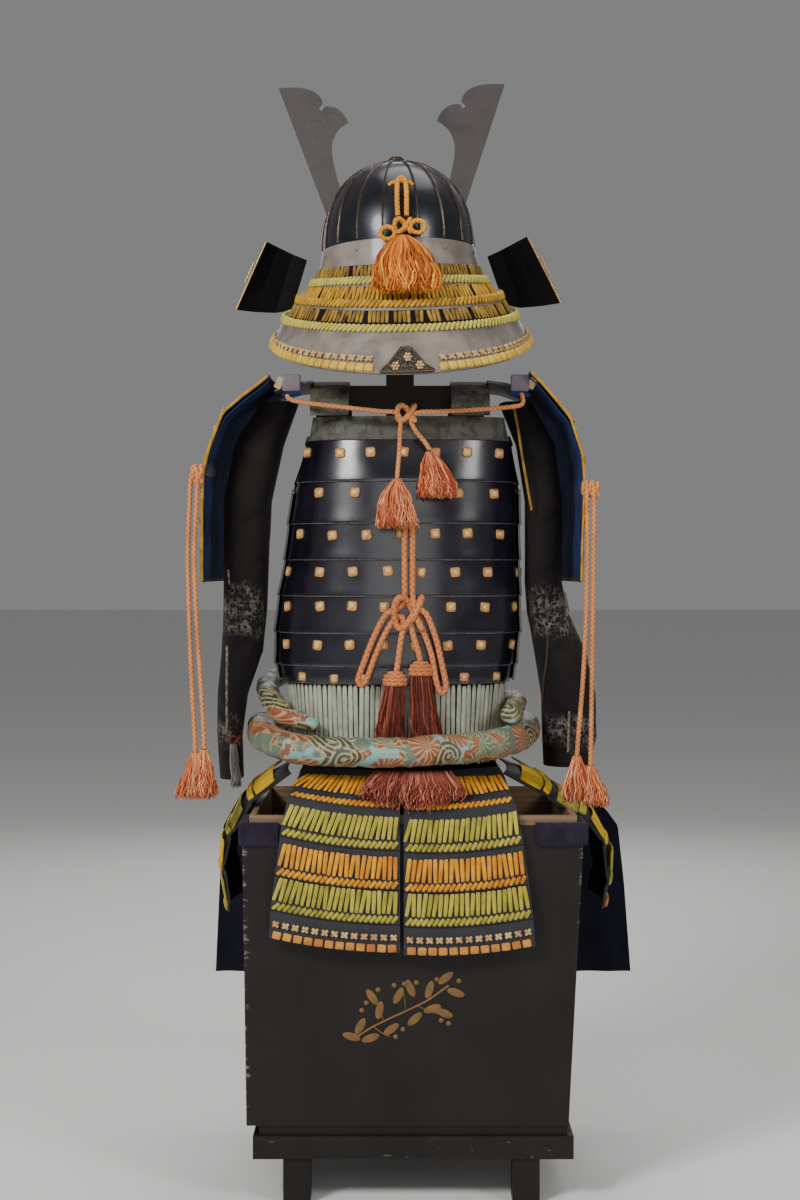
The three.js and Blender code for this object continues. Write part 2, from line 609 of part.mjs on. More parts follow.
// Unit outward direction of a profile at a row, from its neighbours. `key` is its outward column.
function outwardAt(table, z, key) {
  const rising = [...table].sort((p, q) => p.z - q.z);
  const reach = 12;
  const low = rowAt(rising, Math.max(rising[0].z, z - reach));
  const high = rowAt(rising, Math.min(rising[rising.length - 1].z, z + reach));
  const along = new THREE.Vector2(high[key] - low[key], high.z - low.z).normalize();
  return { out: along.y, up: -along.x };
}

function panelGrid(panel, rows, depth) {
  return rows.map((row) => steps(0, 1, PANEL_COLUMNS).map((u) => {
    const { out, up } = outwardAt(panel.table, row.z, 'out');
    const distance = row.out - row.bow * u * u + (row.proud - depth) * out;
    const climb = panel.rise * ((u - panel.low) / (1 - panel.low)) ** 2 * Math.min(1, (584 - row.z) / 60);
    const x = panel.shift + panel.side * (row.inner + (row.outer - row.inner) * u);
    const fall = panel.drop * Math.min(1, (584 - row.z) / 60);
    return new THREE.Vector3(x, panel.facing * distance, row.z + climb + fall + (row.proud - depth) * up);
  }));
}

function makePanels() {
  for (const panel of PANELS) {
    const outer = lacedRows(panel.table, SKIRT_HEADS, HEAD_PROUD);
    const inner = panel.table.map((row) => ({ ...row, proud: 0 }));
    add(armour, panel.name, wall(panelGrid(panel, outer, 0), panelGrid(panel, inner, LACED)), 'skirt');
  }
}

// A laced sheet seen edge-on from behind: its profile runs down one side of the armour.
function sheetGrid(profile, form, side, rows, depth) {
  return rows.map((row) => steps(0, 1, SHEET_COLUMNS).map((v) => {
    const { out, up } = outwardAt(profile, row.z, 'x');
    const bulge = form.bow * (1 - (2 * v - 1) ** 2);
    const x = row.x - form.skew * v + bulge + (row.proud - depth) * out;
    const y = form.back + (form.front - form.back) * v;
    return new THREE.Vector3(side * x, y, row.z + (row.proud - depth) * up);
  }));
}

function steppedProfile(profile, step) {
  const rows = [];
  profile.forEach((row, i) => {
    if (i > 0 && i < profile.length - 1) {
      rows.push({ ...row, z: row.z + 0.8, proud: step });
    }
    rows.push({ ...row, proud: i === profile.length - 1 ? step : 0 });
  });
  return rows;
}

function plainProfile(profile) {
  return profile.map((row) => ({ ...row, proud: 0 }));
}

function makeSideSheets() {
  const sides = [
    { side: -1, word: 'left', guard: GUARD_LEFT, skirt: SIDE_SKIRT_LEFT },
    { side: 1, word: 'right', guard: GUARD_RIGHT, skirt: SIDE_SKIRT_RIGHT },
  ];
  for (const { side, word, guard, skirt } of sides) {
    const plain = plainProfile(guard);
    const liningFace = GUARD.wall + GAP;
    add(armour, `shoulder_guard_${word}`, wall(
      sheetGrid(guard, GUARD, side, steppedProfile(guard, GUARD.step), 0),
      sheetGrid(guard, GUARD, side, plain, GUARD.wall)), 'lacquer');
    add(armour, `guard_lining_${word}`, wall(
      sheetGrid(guard, GUARD, side, plain, liningFace),
      sheetGrid(guard, GUARD, side, plain, liningFace + GUARD.lining)), 'lining');
    add(armour, `skirt_side_${word}`, wall(
      sheetGrid(skirt, SIDE_SKIRT, side, steppedProfile(skirt, SIDE_SKIRT.step), 0),
      sheetGrid(skirt, SIDE_SKIRT, side, plainProfile(skirt), SIDE_SKIRT.wall)), 'skirt');
  }
}

// ---------------------------------------------------------------- sleeves

function sleeveGrid(table, wallDepth) {
  return table.map((row) => steps(0, 2 * HALF_TURN, SLEEVE_COLUMNS).slice(0, -1).map((angle) => {
    const fold = 1 - 0.05 * (1 + Math.cos(3 * angle + row.z / 90)) * 0.5;
    return new THREE.Vector3(
      row.x + signedPower(Math.cos(angle), SECTION_POWER) * (row.halfX * fold - wallDepth),
      row.y + signedPower(Math.sin(angle), SECTION_POWER) * (row.halfY * fold - wallDepth),
      row.z);
  }));
}

function makeSleeves() {
  for (const [name, table] of [['sleeve_left', SLEEVE_LEFT], ['sleeve_right', SLEEVE_RIGHT]]) {
    add(armour, name, wall(sleeveGrid(table, 0), sleeveGrid(table, CLOTH), true), 'sleeve');
  }
}

// ---------------------------------------------------------------- sash

function sashPoint(angle) {
  const across = Math.cos(angle);
  const along = Math.sin(angle);
  const x = signedPower(across, SECTION_POWER) * (across < 0 ? -SASH.left : SASH.right);
  const y = signedPower(along, SECTION_POWER) * (along < 0 ? SASH.back : SASH.front);
  const behind = Math.max(0, -along);
  return new THREE.Vector3(x, y, SASH.z + SASH.tilt * x * behind + SASH.climb * (1 - behind));
}

function ringAround(centre, ahead, radius, sides) {
  const forward = ahead.clone().normalize();
  const across = new THREE.Vector3(0, 0, 1).cross(forward).normalize();
  const up = forward.clone().cross(across);
  return steps(0, 2 * HALF_TURN, sides).slice(0, -1).map((angle) => centre.clone()
    .addScaledVector(across, Math.cos(angle) * radius)
    .addScaledVector(up, Math.sin(angle) * radius));
}

function tubeThrough(centres, radii, sides) {
  return ringSolid(centres.map((centre, i) => {
    const next = centres[Math.min(i + 1, centres.length - 1)];
    const last = centres[Math.max(i - 1, 0)];
    return ringAround(centre, next.clone().sub(last), radii[i], sides);
  }));
}

function makeSash() {
  const run = (from, to) => {
    const centres = steps(from, to, SASH_STEPS).map(sashPoint);
    return tubeThrough(centres, centres.map(() => SASH.radius), SASH_SIDES);
  };
  const seam = 0.0015;
  add(armour, 'sash_back', run(HALF_TURN * (1 + seam), HALF_TURN * (2 - seam)), 'sash');
  add(armour, 'sash_front', run(HALF_TURN * seam, HALF_TURN * (1 - seam)), 'sash');
  const end = (table) => {
    const path = new THREE.CatmullRomCurve3(table.map((p) => new THREE.Vector3(p.x, p.y, p.z)));
    const count = 9;
    const radii = steps(0, table.length - 1, count).map((t) => {
      const i = Math.min(Math.floor(t), table.length - 2);
      return table[i].r + (table[i + 1].r - table[i].r) * (t - i);
    });
    const centres = steps(0, 1, count).map((t) => path.getPoint(t));
    radii[count] *= 1 - ROUND_END;
    return tubeThrough(centres, radii, SASH_SIDES);
  };
  add(armour, 'sash_end_left', end(SASH_END_LEFT), 'sash');
  add(armour, 'sash_end_right', end(SASH_END_RIGHT), 'sash');
}

// ---------------------------------------------------------------- helmet

function bowlGrid(proud) {
  const angles = steps(0, 2 * HALF_TURN, BOWL.columns).slice(0, -1);
  const lifts = steps(0, HALF_TURN / 2 - 0.12, BOWL.rows);
  return lifts.map((lift) => angles.map((angle) => {
    const reach = Math.cos(lift) ** BOWL.power;
    return new THREE.Vector3(
      Math.cos(angle) * reach * (BOWL.halfWidth + proud),
      Math.sin(angle) * reach * (BOWL.halfDepth + proud),
      Math.sin(lift) ** BOWL.power * (BOWL.height + proud));
  }));
}

function closeCrown(grid) {
  const crown = grid[grid.length - 1];
  const middle = crown.reduce((sum, p) => sum.add(p), new THREE.Vector3()).divideScalar(crown.length);
  return { grid, middle };
}

// The bowl's wall, closed over at the crown inside and out.
function bowlSolid() {
  const points = [];
  const faces = [];
  const number = ({ grid, middle }) => ({
    rows: grid.map((row) => {
      const indices = row.map((point) => points.push(point) - 1);
      return [...indices, indices[0]];
    }),
    crown: points.push(middle) - 1,
  });
  const outer = number(closeCrown(bowlGrid(0)));
  const inner = number(closeCrown(bowlGrid(-PLATE)));
  for (let r = 0; r < BOWL.rows; r += 1) {
    fillStrip(points, faces, outer.rows[r], outer.rows[r + 1]);
    fillStrip(points, faces, inner.rows[r + 1], inner.rows[r]);
  }
  fillStrip(points, faces, inner.rows[0], outer.rows[0]);
  for (let i = 0; i < BOWL.columns; i += 1) {
    faces.push([outer.rows[BOWL.rows][i], outer.rows[BOWL.rows][i + 1], outer.crown]);
    faces.push([inner.rows[BOWL.rows][i + 1], inner.rows[BOWL.rows][i], inner.crown]);
  }
  return solidFrom(points, faces);
}

// Finial on the crown, a low stack of rings around the central hole.
function finialSolid() {
  const profile = [[0, -4], [15, -4], [15, 2], [10, 4], [9, 8], [5, 11], [0, 12]]
    .map(([r, z]) => new THREE.Vector2(r, z));
  const geometry = new THREE.LatheGeometry(profile, 12);
  geometry.rotateX(HALF_TURN / 2);
  geometry.translate(0, 0, BOWL.height - 1);
  return geometry;
}

function neckPoint(row, angle, proud) {
  const share = 1 - Math.cos(angle);
  return new THREE.Vector3(
    Math.sin(angle) * (row.a + proud), -Math.cos(angle) * (row.b + proud), row.z + row.rise * share);
}

function makeNeckGuard() {
  const angles = steps(-GUARD_END, GUARD_END, NECK_COLUMNS);
  for (const [name, rows] of Object.entries(NECK)) {
    const grid = (proud) => rows.map((row) => angles.map((angle) => neckPoint(row, angle, proud)));
    add(helmet, name, wall(grid(0), grid(-PLATE)), 'taupe');
  }
}

function makeTurnBacks() {
  for (const [side, word] of [[-1, 'left'], [1, 'right']]) {
    const grid = (depth) => [0, 0.5, 1].map((t) => TURN_BACK.map(({ top, foot }) => new THREE.Vector3(
      side * (foot.x + (top.x - foot.x) * t),
      foot.y + (top.y - foot.y) * t + depth,
      foot.z + (top.z - foot.z) * t)));
    add(helmet, `turn_back_${word}`, wall(grid(0), grid(TURN_BACK_WALL)), 'lacquer');
  }
}

function makeVisor() {
  const angles = steps(VISOR.from, HALF_TURN - VISOR.from, VISOR.columns);
  const grid = (depth) => [0, 0.5, 1].map((t) => angles.map((angle) => {
    const turn = (angle - VISOR.from) / (HALF_TURN - 2 * VISOR.from);
    const share = Math.max(0, Math.sin(turn * HALF_TURN)) ** 0.6;
    const reach = 2.5 + (6 + VISOR.reach * share) * t;
    return new THREE.Vector3(
      Math.cos(angle) * (BOWL.halfWidth + reach),
      Math.sin(angle) * (BOWL.halfDepth + reach),
      2 - VISOR.drop * t * (0.4 + 0.6 * share) - depth);
  }));
  const visor = wall(grid(0), grid(VISOR.wall));
  const { halfWidth, y, depth: thick, foot, top } = HOLDER;
  const holder = box(-halfWidth, halfWidth, y, y + thick, foot, top);
  add(helmet, 'visor', fromManifold(toManifold(visor).add(toManifold(holder))), 'lacquer');
}

// Flat horn with a heart-shaped notch between its two lobes.
function hornShape(side) {
  const shape = new THREE.Shape();
  const x = (value) => side * value;
  shape.moveTo(x(52), 8);
  shape.lineTo(x(74), 8);
  shape.lineTo(x(104), 79);
  shape.lineTo(x(172), 272);
  shape.quadraticCurveTo(x(110), 278, x(105), 247);
  shape.lineTo(x(112), 240);
  shape.lineTo(x(107), 236);
  shape.lineTo(x(103), 243);
  shape.quadraticCurveTo(x(78), 246, x(67), 218);
  shape.quadraticCurveTo(x(104), 200, x(89), 148);
  shape.quadraticCurveTo(x(84), 118, x(60), 60);
  shape.closePath();
  return shape;
}

function makeHorns() {
  for (const [side, word] of [[-1, 'left'], [1, 'right']]) {
    const geometry = new THREE.ExtrudeGeometry(hornShape(side), {
      depth: HORN.wall, bevelEnabled: false, curveSegments: 8,
    });
    geometry.rotateX(HALF_TURN / 2);
    geometry.translate(0, HORN.y + HORN.wall, 0);
    add(helmet, `horn_${word}`, geometry, 'horn');
  }
}

// Openwork plate on the back of the lowest lame, made from the lame's own rows, moved out.
function makeFitting() {
  const rows = NECK.neck_lame_3;
  const heights = steps(0, 1, 5);
  const grid = (proud) => heights.map((t) => {
    const half = (FITTING.halfWidth * (1 - t * 0.8)) / 225;
    const place = 3 - t * 1.55;
    const i = Math.min(2, Math.floor(place));
    const mix = (key) => rows[i][key] + (rows[i + 1][key] - rows[i][key]) * (place - i);
    const row = { a: mix('a'), b: mix('b'), z: mix('z'), rise: mix('rise') };
    return steps(-half, half, 6).map((angle) => neckPoint(row, angle, proud));
  });
  const clear = 0.6;
  add(helmet, 'rear_fitting', wall(grid(clear + FITTING.wall), grid(clear)), 'horn');
}

function ellipsoid(form) {
  const geometry = new THREE.SphereGeometry(1, 12, 6);
  geometry.rotateX(HALF_TURN / 2);
  geometry.scale(form.halfX, form.halfY, form.halfZ);
  geometry.translate(form.x, form.y, form.z);
  return geometry;
}

function tasselSolid(table) {
  return ringSolid(table.map((row) => steps(0, 2 * HALF_TURN, TASSEL_SIDES).slice(0, -1).map((angle) => (
    new THREE.Vector3(row.x + Math.cos(angle) * row.halfX, row.y + Math.sin(angle) * row.halfY, row.z)))));
}

function makeHelmet() {
  helmet.position.set(HELMET.x, HELMET.y, HELMET.z);
  helmet.rotation.set(0, HELMET.roll, HELMET.yaw, 'ZYX');
  const bowl = toManifold(bowlSolid()).add(toManifold(finialSolid()));
  add(helmet, 'helmet_bowl', fromManifold(bowl), 'bowl');
  makeNeckGuard();
  makeTurnBacks();
  makeVisor();
  makeHorns();
  makeFitting();
  add(helmet, 'helmet_cord', cord(HELMET_CORD, CORD.helmet, 14), 'orange', true);
  const knot = toManifold(ellipsoid(HELMET_KNOT)).add(toManifold(tasselSolid(HELMET_TASSEL)));
  add(helmet, 'helmet_tassel', fromManifold(knot), 'orange', true);
}

// ---------------------------------------------------------------- cords and tassels

function makeCords() {
  for (const [name, route] of Object.entries(SIDE_CORDS)) {
    add(armour, name, cord(route, CORD.side, cordSteps(route, CORD.side)), 'peach', true);
  }
  let knot = toManifold(ellipsoid(BACK_KNOT));
  for (const [name, route] of Object.entries(BACK_CORDS)) {
    add(armour, name, cord(route, CORD.back, cordSteps(route, CORD.back)), 'peach', true);
    knot = knot.subtract(toManifold(cord(route, CORD.back + 2.4 * GAP, cordSteps(route, CORD.back))));
  }
  add(armour, 'back_knot', fromManifold(knot), 'peach', true);
  const ring = new THREE.TorusGeometry(BOW_RING.radius - BOW_RING.wire / 2, BOW_RING.wire / 2, 6, 16);
  ring.rotateX(HALF_TURN / 2);
  ring.translate(BOW_RING.x, BOW_RING.y, BOW_RING.z);
  add(armour, 'bow_ring', ring, 'brass');
  add(armour, 'bow_strands', cord(BOW_STRANDS, CORD.bow, 16), 'peach', true);
  let bow = toManifold(ellipsoid(BOW_KNOT));
  for (const route of BOW_LOOPS) {
    bow = bow.add(toManifold(cord(route, CORD.bow, route.length > 5 ? BOW_LOOP_STEPS : 5)));
  }
  add(armour, 'bow', fromManifold(bow), 'peach', true);
  for (const [name, table] of Object.entries(TASSELS)) {
    add(armour, name, tasselSolid(table), name.startsWith('bow') ? 'brick' : 'peach', true);
  }
  const around = steps(0, 2 * HALF_TURN, FRINGE_SIDES).slice(0, -1);
  const fringe = FRINGE.map((row) => around.map((angle) => new THREE.Vector3(
    (row.left + row.right) / 2 + signedPower(Math.cos(angle), FRINGE_POWER) * (row.right - row.left) / 2,
    row.y + signedPower(Math.sin(angle), FRINGE_POWER) * row.half,
    row.z)));
  add(armour, 'bow_fringe', ringSolid(fringe), 'brick', true);
}

// ---------------------------------------------------------------- chest, its cloth and the stand

function chestRect(z, inset) {
  const share = (z - CHEST.foot.z) / (CHEST.top.z - CHEST.foot.z);
  const mix = (key) => CHEST.foot[key] + (CHEST.top[key] - CHEST.foot[key]) * share;
  return {
    left: mix('left') + inset,
    right: mix('right') - inset,
    back: mix('back') + inset,
    front: mix('front') - inset,
  };
}

function chestBlock(foot, top, inset) {
  return toManifold(ringSolid([foot, top].map((z) => {
    const r = chestRect(z, inset);
    return [[r.left, r.back], [r.right, r.back], [r.right, r.front], [r.left, r.front]]
      .map(([x, y]) => new THREE.Vector3(x, y, z));
  })));
}

function makeChest() {
  const hollow = chestBlock(CHEST.foot.z + CHEST.floor, CHEST.top.z + 1, CHEST.wall);
  add(armour, 'chest_body', fromManifold(chestBlock(CHEST.foot.z, CHEST.top.z, 0).subtract(hollow)), 'chest');
  const lipOutside = CHEST.wall + GAP;
  const lip = chestBlock(LIP.foot, LIP.top, lipOutside)
    .subtract(chestBlock(LIP.foot - 1, LIP.top + 1, lipOutside + LIP.wall));
  add(armour, 'chest_lip', fromManifold(lip), 'wood');
  const { left: west, right: east, back: rear, front: fore, recess } = BASE;
  let base = toManifold(box(west, east, rear, fore, BASE.foot, BASE.ledge));
  base = base.add(toManifold(
    box(west + recess, east - recess, rear + recess, fore - recess, BASE.foot, BASE.top)));
  for (const [left, right] of FEET) {
    for (const back of [BASE.back + 4, BASE.front - 4 - FOOT_DEPTH]) {
      base = base.add(toManifold(box(left, right, back, back + FOOT_DEPTH, 0, BASE.foot + 1)));
    }
  }
  add(armour, 'chest_base', fromManifold(base), 'chest');
}

function makeRimCloth() {
  const { foot, top, wall: thick, clear, cover, left, right } = RIM_CLOTH;
  const skirt = chestBlock(foot, top, -clear - thick).subtract(chestBlock(foot - 1, top + 1, -clear));
  const brim = chestBlock(CHEST.top.z + clear, top, -clear - thick)
    .subtract(chestBlock(CHEST.top.z - 1, top + 1, cover));
  const open = toManifold(box(left, right, CHEST.top.back - 40, CHEST.top.back + 60, foot - 5, top + 5));
  add(armour, 'rim_cloth', fromManifold(skirt.add(brim).subtract(open)), 'indigo');
}

function apronPoint(row, u, proud) {
  const hang = (APRON[APRON.length - 1].z - row.z) / 276;
  const fold = APRON_FOLDS.reduce((sum, f) => sum + f.depth * Math.exp(-(((u - f.at) / f.width) ** 2)), 0);
  const x = row.left + (row.right - row.left) * u;
  return new THREE.Vector3(x, APRON_Y + fold * (0.25 + 0.75 * hang) + proud, row.z);
}

function makeApron() {
  const grid = (proud) => APRON.map((row) => steps(0, 1, APRON_COLUMNS)
    .map((u) => apronPoint(row, u, proud)));
  add(armour, 'apron', wall(grid(CLOTH), grid(0)), 'indigo');
}

function makeStand() {
  const floor = CHEST.foot.z + CHEST.floor + GAP;
  const { x, postX, postY, boardX, boardY, board, barX, barY } = STAND;
  const barTop = STRAP.crown - STRAP.wall - 0.8;
  const top = HEAD_BLOCK[0][1] + 2;
  let stand = toManifold(box(x - boardX / 2, x + boardX / 2, -boardY / 2, boardY / 2, floor, floor + board));
  stand = stand.add(toManifold(box(-postX / 2, postX / 2, -postY / 2, postY / 2, floor + board - 1, top)));
  stand = stand.add(toManifold(box(-barX, barX, -barY / 2, barY / 2, barTop - 34, barTop)));
  const head = new THREE.LatheGeometry(HEAD_BLOCK.map(([r, z]) => new THREE.Vector2(r, z)), 24);
  head.rotateX(HALF_TURN / 2);
  stand = stand.add(toManifold(head));
  add(armour, 'stand', fromManifold(stand), 'wood');
}

// ---------------------------------------------------------------- the whole

makeHelmet();
makeCuirass();
makeStrap(-1, 'shoulder_strap_left');
makeStrap(1, 'shoulder_strap_right');
makePanels();
makeSideSheets();
makeSleeves();
makeSash();
makeCords();
makeChest();
makeRimCloth();
makeApron();
makeStand();

// The origin goes under the middle of everything but the free cords and what hangs on them.
armour.updateMatrixWorld(true);
const reach = new THREE.Box3();
armour.traverse((piece) => {
  if (piece.isMesh && !cordPieces.includes(piece)) {
    reach.expandByObject(piece, true);
  }
});
const middle = reach.getCenter(new THREE.Vector3());
armour.position.set(-middle.x, -middle.y, -reach.min.z);
armour.updateMatrixWorld(true);

export default armour;
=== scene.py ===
# Dresses a laced samurai armour that stands on its lacquered chest.
# The armour's back faces -Y, its front +Y, and the wearer's right is +X. Units are metres.
# Tables are in millimetres, in the maker's frame; to_frame() turns them into the part's frame.
import contextlib
import math

import bpy
import numpy as np
from mathutils import Matrix, Vector


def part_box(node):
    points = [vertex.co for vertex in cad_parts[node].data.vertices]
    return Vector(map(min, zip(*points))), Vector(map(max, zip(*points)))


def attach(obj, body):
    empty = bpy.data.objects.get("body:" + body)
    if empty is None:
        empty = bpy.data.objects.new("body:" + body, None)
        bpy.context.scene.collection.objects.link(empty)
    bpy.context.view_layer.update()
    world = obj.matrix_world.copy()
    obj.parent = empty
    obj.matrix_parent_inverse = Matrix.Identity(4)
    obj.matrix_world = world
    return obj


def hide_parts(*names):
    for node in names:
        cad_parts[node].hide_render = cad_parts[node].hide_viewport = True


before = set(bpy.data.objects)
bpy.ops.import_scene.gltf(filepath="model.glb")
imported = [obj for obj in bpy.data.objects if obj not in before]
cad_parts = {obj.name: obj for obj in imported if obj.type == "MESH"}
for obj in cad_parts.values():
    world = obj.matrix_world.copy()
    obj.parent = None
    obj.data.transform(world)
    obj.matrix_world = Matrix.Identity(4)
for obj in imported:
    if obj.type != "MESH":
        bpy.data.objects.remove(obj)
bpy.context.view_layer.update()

bl_info = {
    "name": "Samurai armour on its chest",
    "version": (1, 0, 0),
    "blender": (4, 5, 0),
    "location": "View3D > Sidebar > Armour",
    "description": "Adds the lacing, cloth, cords and finishes of a laced armour",
    "category": "Object",
}

MM = 0.001
TURN = 2 * math.pi

# The maker's frame has its origin on the helmet's middle line; the chest gives its place in the part.
CHEST_LOW, CHEST_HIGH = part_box("chest_body")
CHEST_MIDDLE_X = 17.75
CHEST_MIDDLE_Y = 5.0
ORIGIN_X = (CHEST_LOW[0] + CHEST_HIGH[0]) / 2 - CHEST_MIDDLE_X * MM
ORIGIN_Y = (CHEST_LOW[1] + CHEST_HIGH[1]) / 2 - CHEST_MIDDLE_Y * MM


def table(columns, *rows):
    names = columns.split()
    return [dict(zip(names, row)) for row in rows]


# ---------------------------------------------------------------- sizes of the armour

SECTION_POWER = 0.8
CUIRASS = table(
    "z left right back front",
    (700, 167, 156, 113, 116), (724, 174, 162, 116, 120), (770, 175, 168, 120, 124),
    (822, 170, 168, 122, 128), (873, 161, 167, 122, 130), (924, 156, 167, 120, 128),
    (983, 149, 168, 116, 122), (1042, 144, 172, 108, 112), (1076, 142, 170, 100, 104),
)
LAME_EDGES = [700, 724, 770, 822, 873, 924, 983, 1042]
FRONT_PROUD = 6.5
FRONT_LAP = math.radians(6)
ARMHOLE = {"z": 1070, "half_depth": 62, "half_height": 100}
LACES = table(
    "z left right back front",
    (585, 149, 140, 104, 106), (645, 156, 147, 107, 109), (699.4, 163, 153, 110, 112),
)
STUD_ROWS = table(
    "z first pitch count",
    (1025, -129, 44.6, 7), (968, -112, 48.5, 7), (910, -139, 46.5, 7), (858, -158, 46.6, 8),
    (809, -158, 45.8, 8), (755, -159, 45.2, 8), (709, -138, 45.6, 7),
)
BACK_SKIRT = table(
    "z out bow inner outer",
    (584, 113, 46, 1, 136), (572, 138, 42, 1, 142), (550, 169, 24, 1, 148), (524, 197, 8, 1, 157),
    (484, 203, 6, 1, 163), (432, 206, 6, 1, 170), (385, 209, 6, 1, 176), (345, 212, 6, 1, 178),
)
FRONT_SKIRT = table(
    "z out bow inner outer",
    (584, 115, 46, 1, 138), (572, 142, 40, 1, 144), (550, 176, 24, 1, 150), (526, 212, 9, 1, 158),
    (500, 226, 4, 1, 163), (432, 229, 4, 1, 170), (345, 232, 4, 1, 178),
)
SKIRT_HEADS = [536, 485, 432, 386]
HEAD_PROUD = 2.6
HEAD_HEIGHT = 12
PANELS = {
    "skirt_back_left": {"rows": BACK_SKIRT, "facing": -1, "side": -1, "shift": 1, "rise": 19, "low": 0, "drop": 0},
    "skirt_back_right": {"rows": BACK_SKIRT, "facing": -1, "side": 1, "shift": 4, "rise": 12, "low": 0.25,
                         "drop": -4},
    "skirt_front_left": {"rows": FRONT_SKIRT, "facing": 1, "side": -1, "shift": 0, "rise": 14, "low": 0, "drop": 0},
    "skirt_front_right": {"rows": FRONT_SKIRT, "facing": 1, "side": 1, "shift": 0, "rise": 14, "low": 0, "drop": 0},
}
SHEETS = {
    "skirt_side_left": {
        "side": -1, "back": -92, "front": 78, "skew": 4, "bow": 10,
        "profile": table("z x", (584, 154), (577, 176), (558, 202), (535, 222), (503, 237), (479, 247),
                         (449, 249), (418, 246), (382, 240)),
    },
    "skirt_side_right": {
        "side": 1, "back": -92, "front": 78, "skew": 4, "bow": 10,
        "profile": table("z x", (584, 146), (577, 174), (562, 202), (546, 226), (519, 268), (484, 285),
                         (449, 295), (417, 292), (384, 287)),
    },
    "shoulder_guard_left": {
        "side": -1, "back": -112, "front": 116, "skew": 20, "bow": 8,
        "profile": table("z x", (1133, 183), (1120, 198), (1104, 220), (1080, 248), (1034, 266), (1000, 275),
                         (945, 277), (895, 277), (843, 277)),
    },
    "shoulder_guard_right": {
        "side": 1, "back": -112, "front": 116, "skew": 20, "bow": 8,
        "profile": table("z x", (1138, 182), (1122, 198), (1100, 217), (1074, 238), (1023, 255), (990, 258),
                         (945, 257), (895, 255), (843, 254)),
    },
}
GUARD_LINING_GAP = 3.8
SLEEVES = {
    "sleeve_left": table(
        "z x y half_x half_y",
        (560, -243, 0, 17, 42), (620, -246, -4, 18, 45), (680, -242, -6, 22, 47), (740, -229, -4, 30, 50),
        (800, -225, 0, 32, 54), (880, -223, 2, 33, 56), (960, -220, 0, 35, 59), (1040, -203, 0, 36, 62),
        (1100, -174, 0, 28, 58),
    ),
    "sleeve_right": table(
        "z x y half_x half_y",
        (578, 242, 0, 34, 44), (620, 246, -4, 40, 48), (680, 244, -6, 40, 50), (740, 232, -4, 38, 52),
        (800, 213, 0, 30, 54), (842, 207, 0, 27, 56), (960, 207, 0, 27, 59), (1040, 196, 0, 28, 62),
        (1100, 168, 0, 24, 56),
    ),
}
SLEEVE_CREASES = table(
    "z turn reach depth slant",
    (600, 1.6, 26, 2.6, 0.4), (655, 4.4, 30, 3.0, -0.5), (705, 5.6, 22, 2.2, 0.7), (748, 4.7, 26, 3.2, 0.6),
    (790, 2.0, 34, 2.4, -0.3), (838, 4.2, 24, 2.8, -0.6), (872, 5.4, 30, 2.0, 0.5), (930, 4.9, 26, 2.6, 0.3),
    (985, 1.2, 34, 2.4, 0.5), (1015, 4.4, 28, 3.0, -0.4), (1060, 5.2, 22, 2.0, 0.6),
)
SASH = {
    "left": 200, "right": 181, "back": 165, "front": 162, "z": 611.5, "tilt": 0.03, "climb": 21, "radius": 23,
}
SASH_ENDS = {
    "sash_end_left": table(
        "x y z r",
        (-172, 108, 700, 15), (-191, 55, 695, 16.5), (-193, 5, 689, 17.5), (-184, -42, 675, 18),
        (-166, -80, 659, 18), (-143, -101, 650, 15), (-114, -110, 641, 12),
    ),
    "sash_end_right": table(
        "x y z r",
        (148, 92, 668, 12), (165, 45, 670, 14), (168, -15, 669.5, 15), (165, -55, 669, 16),
        (159, -90, 664, 16), (152, -122, 658, 16.5),
    ),
}

# Helmet, in its own frame: origin at the middle of the bowl's rim.
HELMET = {"x": -2, "y": 0, "z": 1322, "roll": math.radians(-1.4), "yaw": math.radians(1.6)}
BOWL = {"half_width": 109, "half_depth": 127, "height": 126, "power": 2 / 2.2}
BOWL_RIBS = [14, 34, 54, 74, 94, 114, 134, 154, 172]
GUARD_END = math.radians(112)
NECK = {
    "bowl_band": table("a b z rise", (111, 129, -1, 0), (114, 133, -28, 8), (120, 140, -58, 15)),
    "neck_lame_1": table("a b z rise", (124.5, 144, -55, 15), (130, 150, -72, 19), (140, 161, -94, 27)),
    "neck_lame_2": table("a b z rise", (145.5, 166.5, -92, 31), (151, 172, -109, 34), (161, 184, -132, 38)),
    "neck_lame_3": table("a b z rise", (166.5, 189.5, -129, 40), (173, 200, -149, 45), (181, 215, -174, 55),
                         (187, 231, -199, 67)),
}
TURN_BACK_EDGE = {"top": (193, 58, 27), "foot": (240, 56, -73)}

# Chest and its cloths.
CHEST = {
    "top": {"z": 513, "left": -214.5, "right": 250, "back": -185, "front": 195},
    "foot": {"z": 104, "left": -209, "right": 229.5, "back": -178, "front": 188},
}
RIM_CLOTH = {"foot": 487, "top": 517.5, "wall": 5, "clear": 0.4, "cover": 8.4, "left": -165, "right": 184}
APRON = table(
    "z left right",
    (236, -286, 358), (370, -280, 348), (462, -274, 338), (484, -262, 322), (512, -246, 296),
)
APRON_FOLDS = table(
    "at width depth",
    (0.03, 0.03, 6), (0.13, 0.05, 4), (0.29, 0.045, 5), (0.44, 0.05, 3), (0.62, 0.05, 5), (0.77, 0.04, 4),
    (0.9, 0.04, 6), (0.985, 0.03, 5),
)
APRON_Y = 202.5

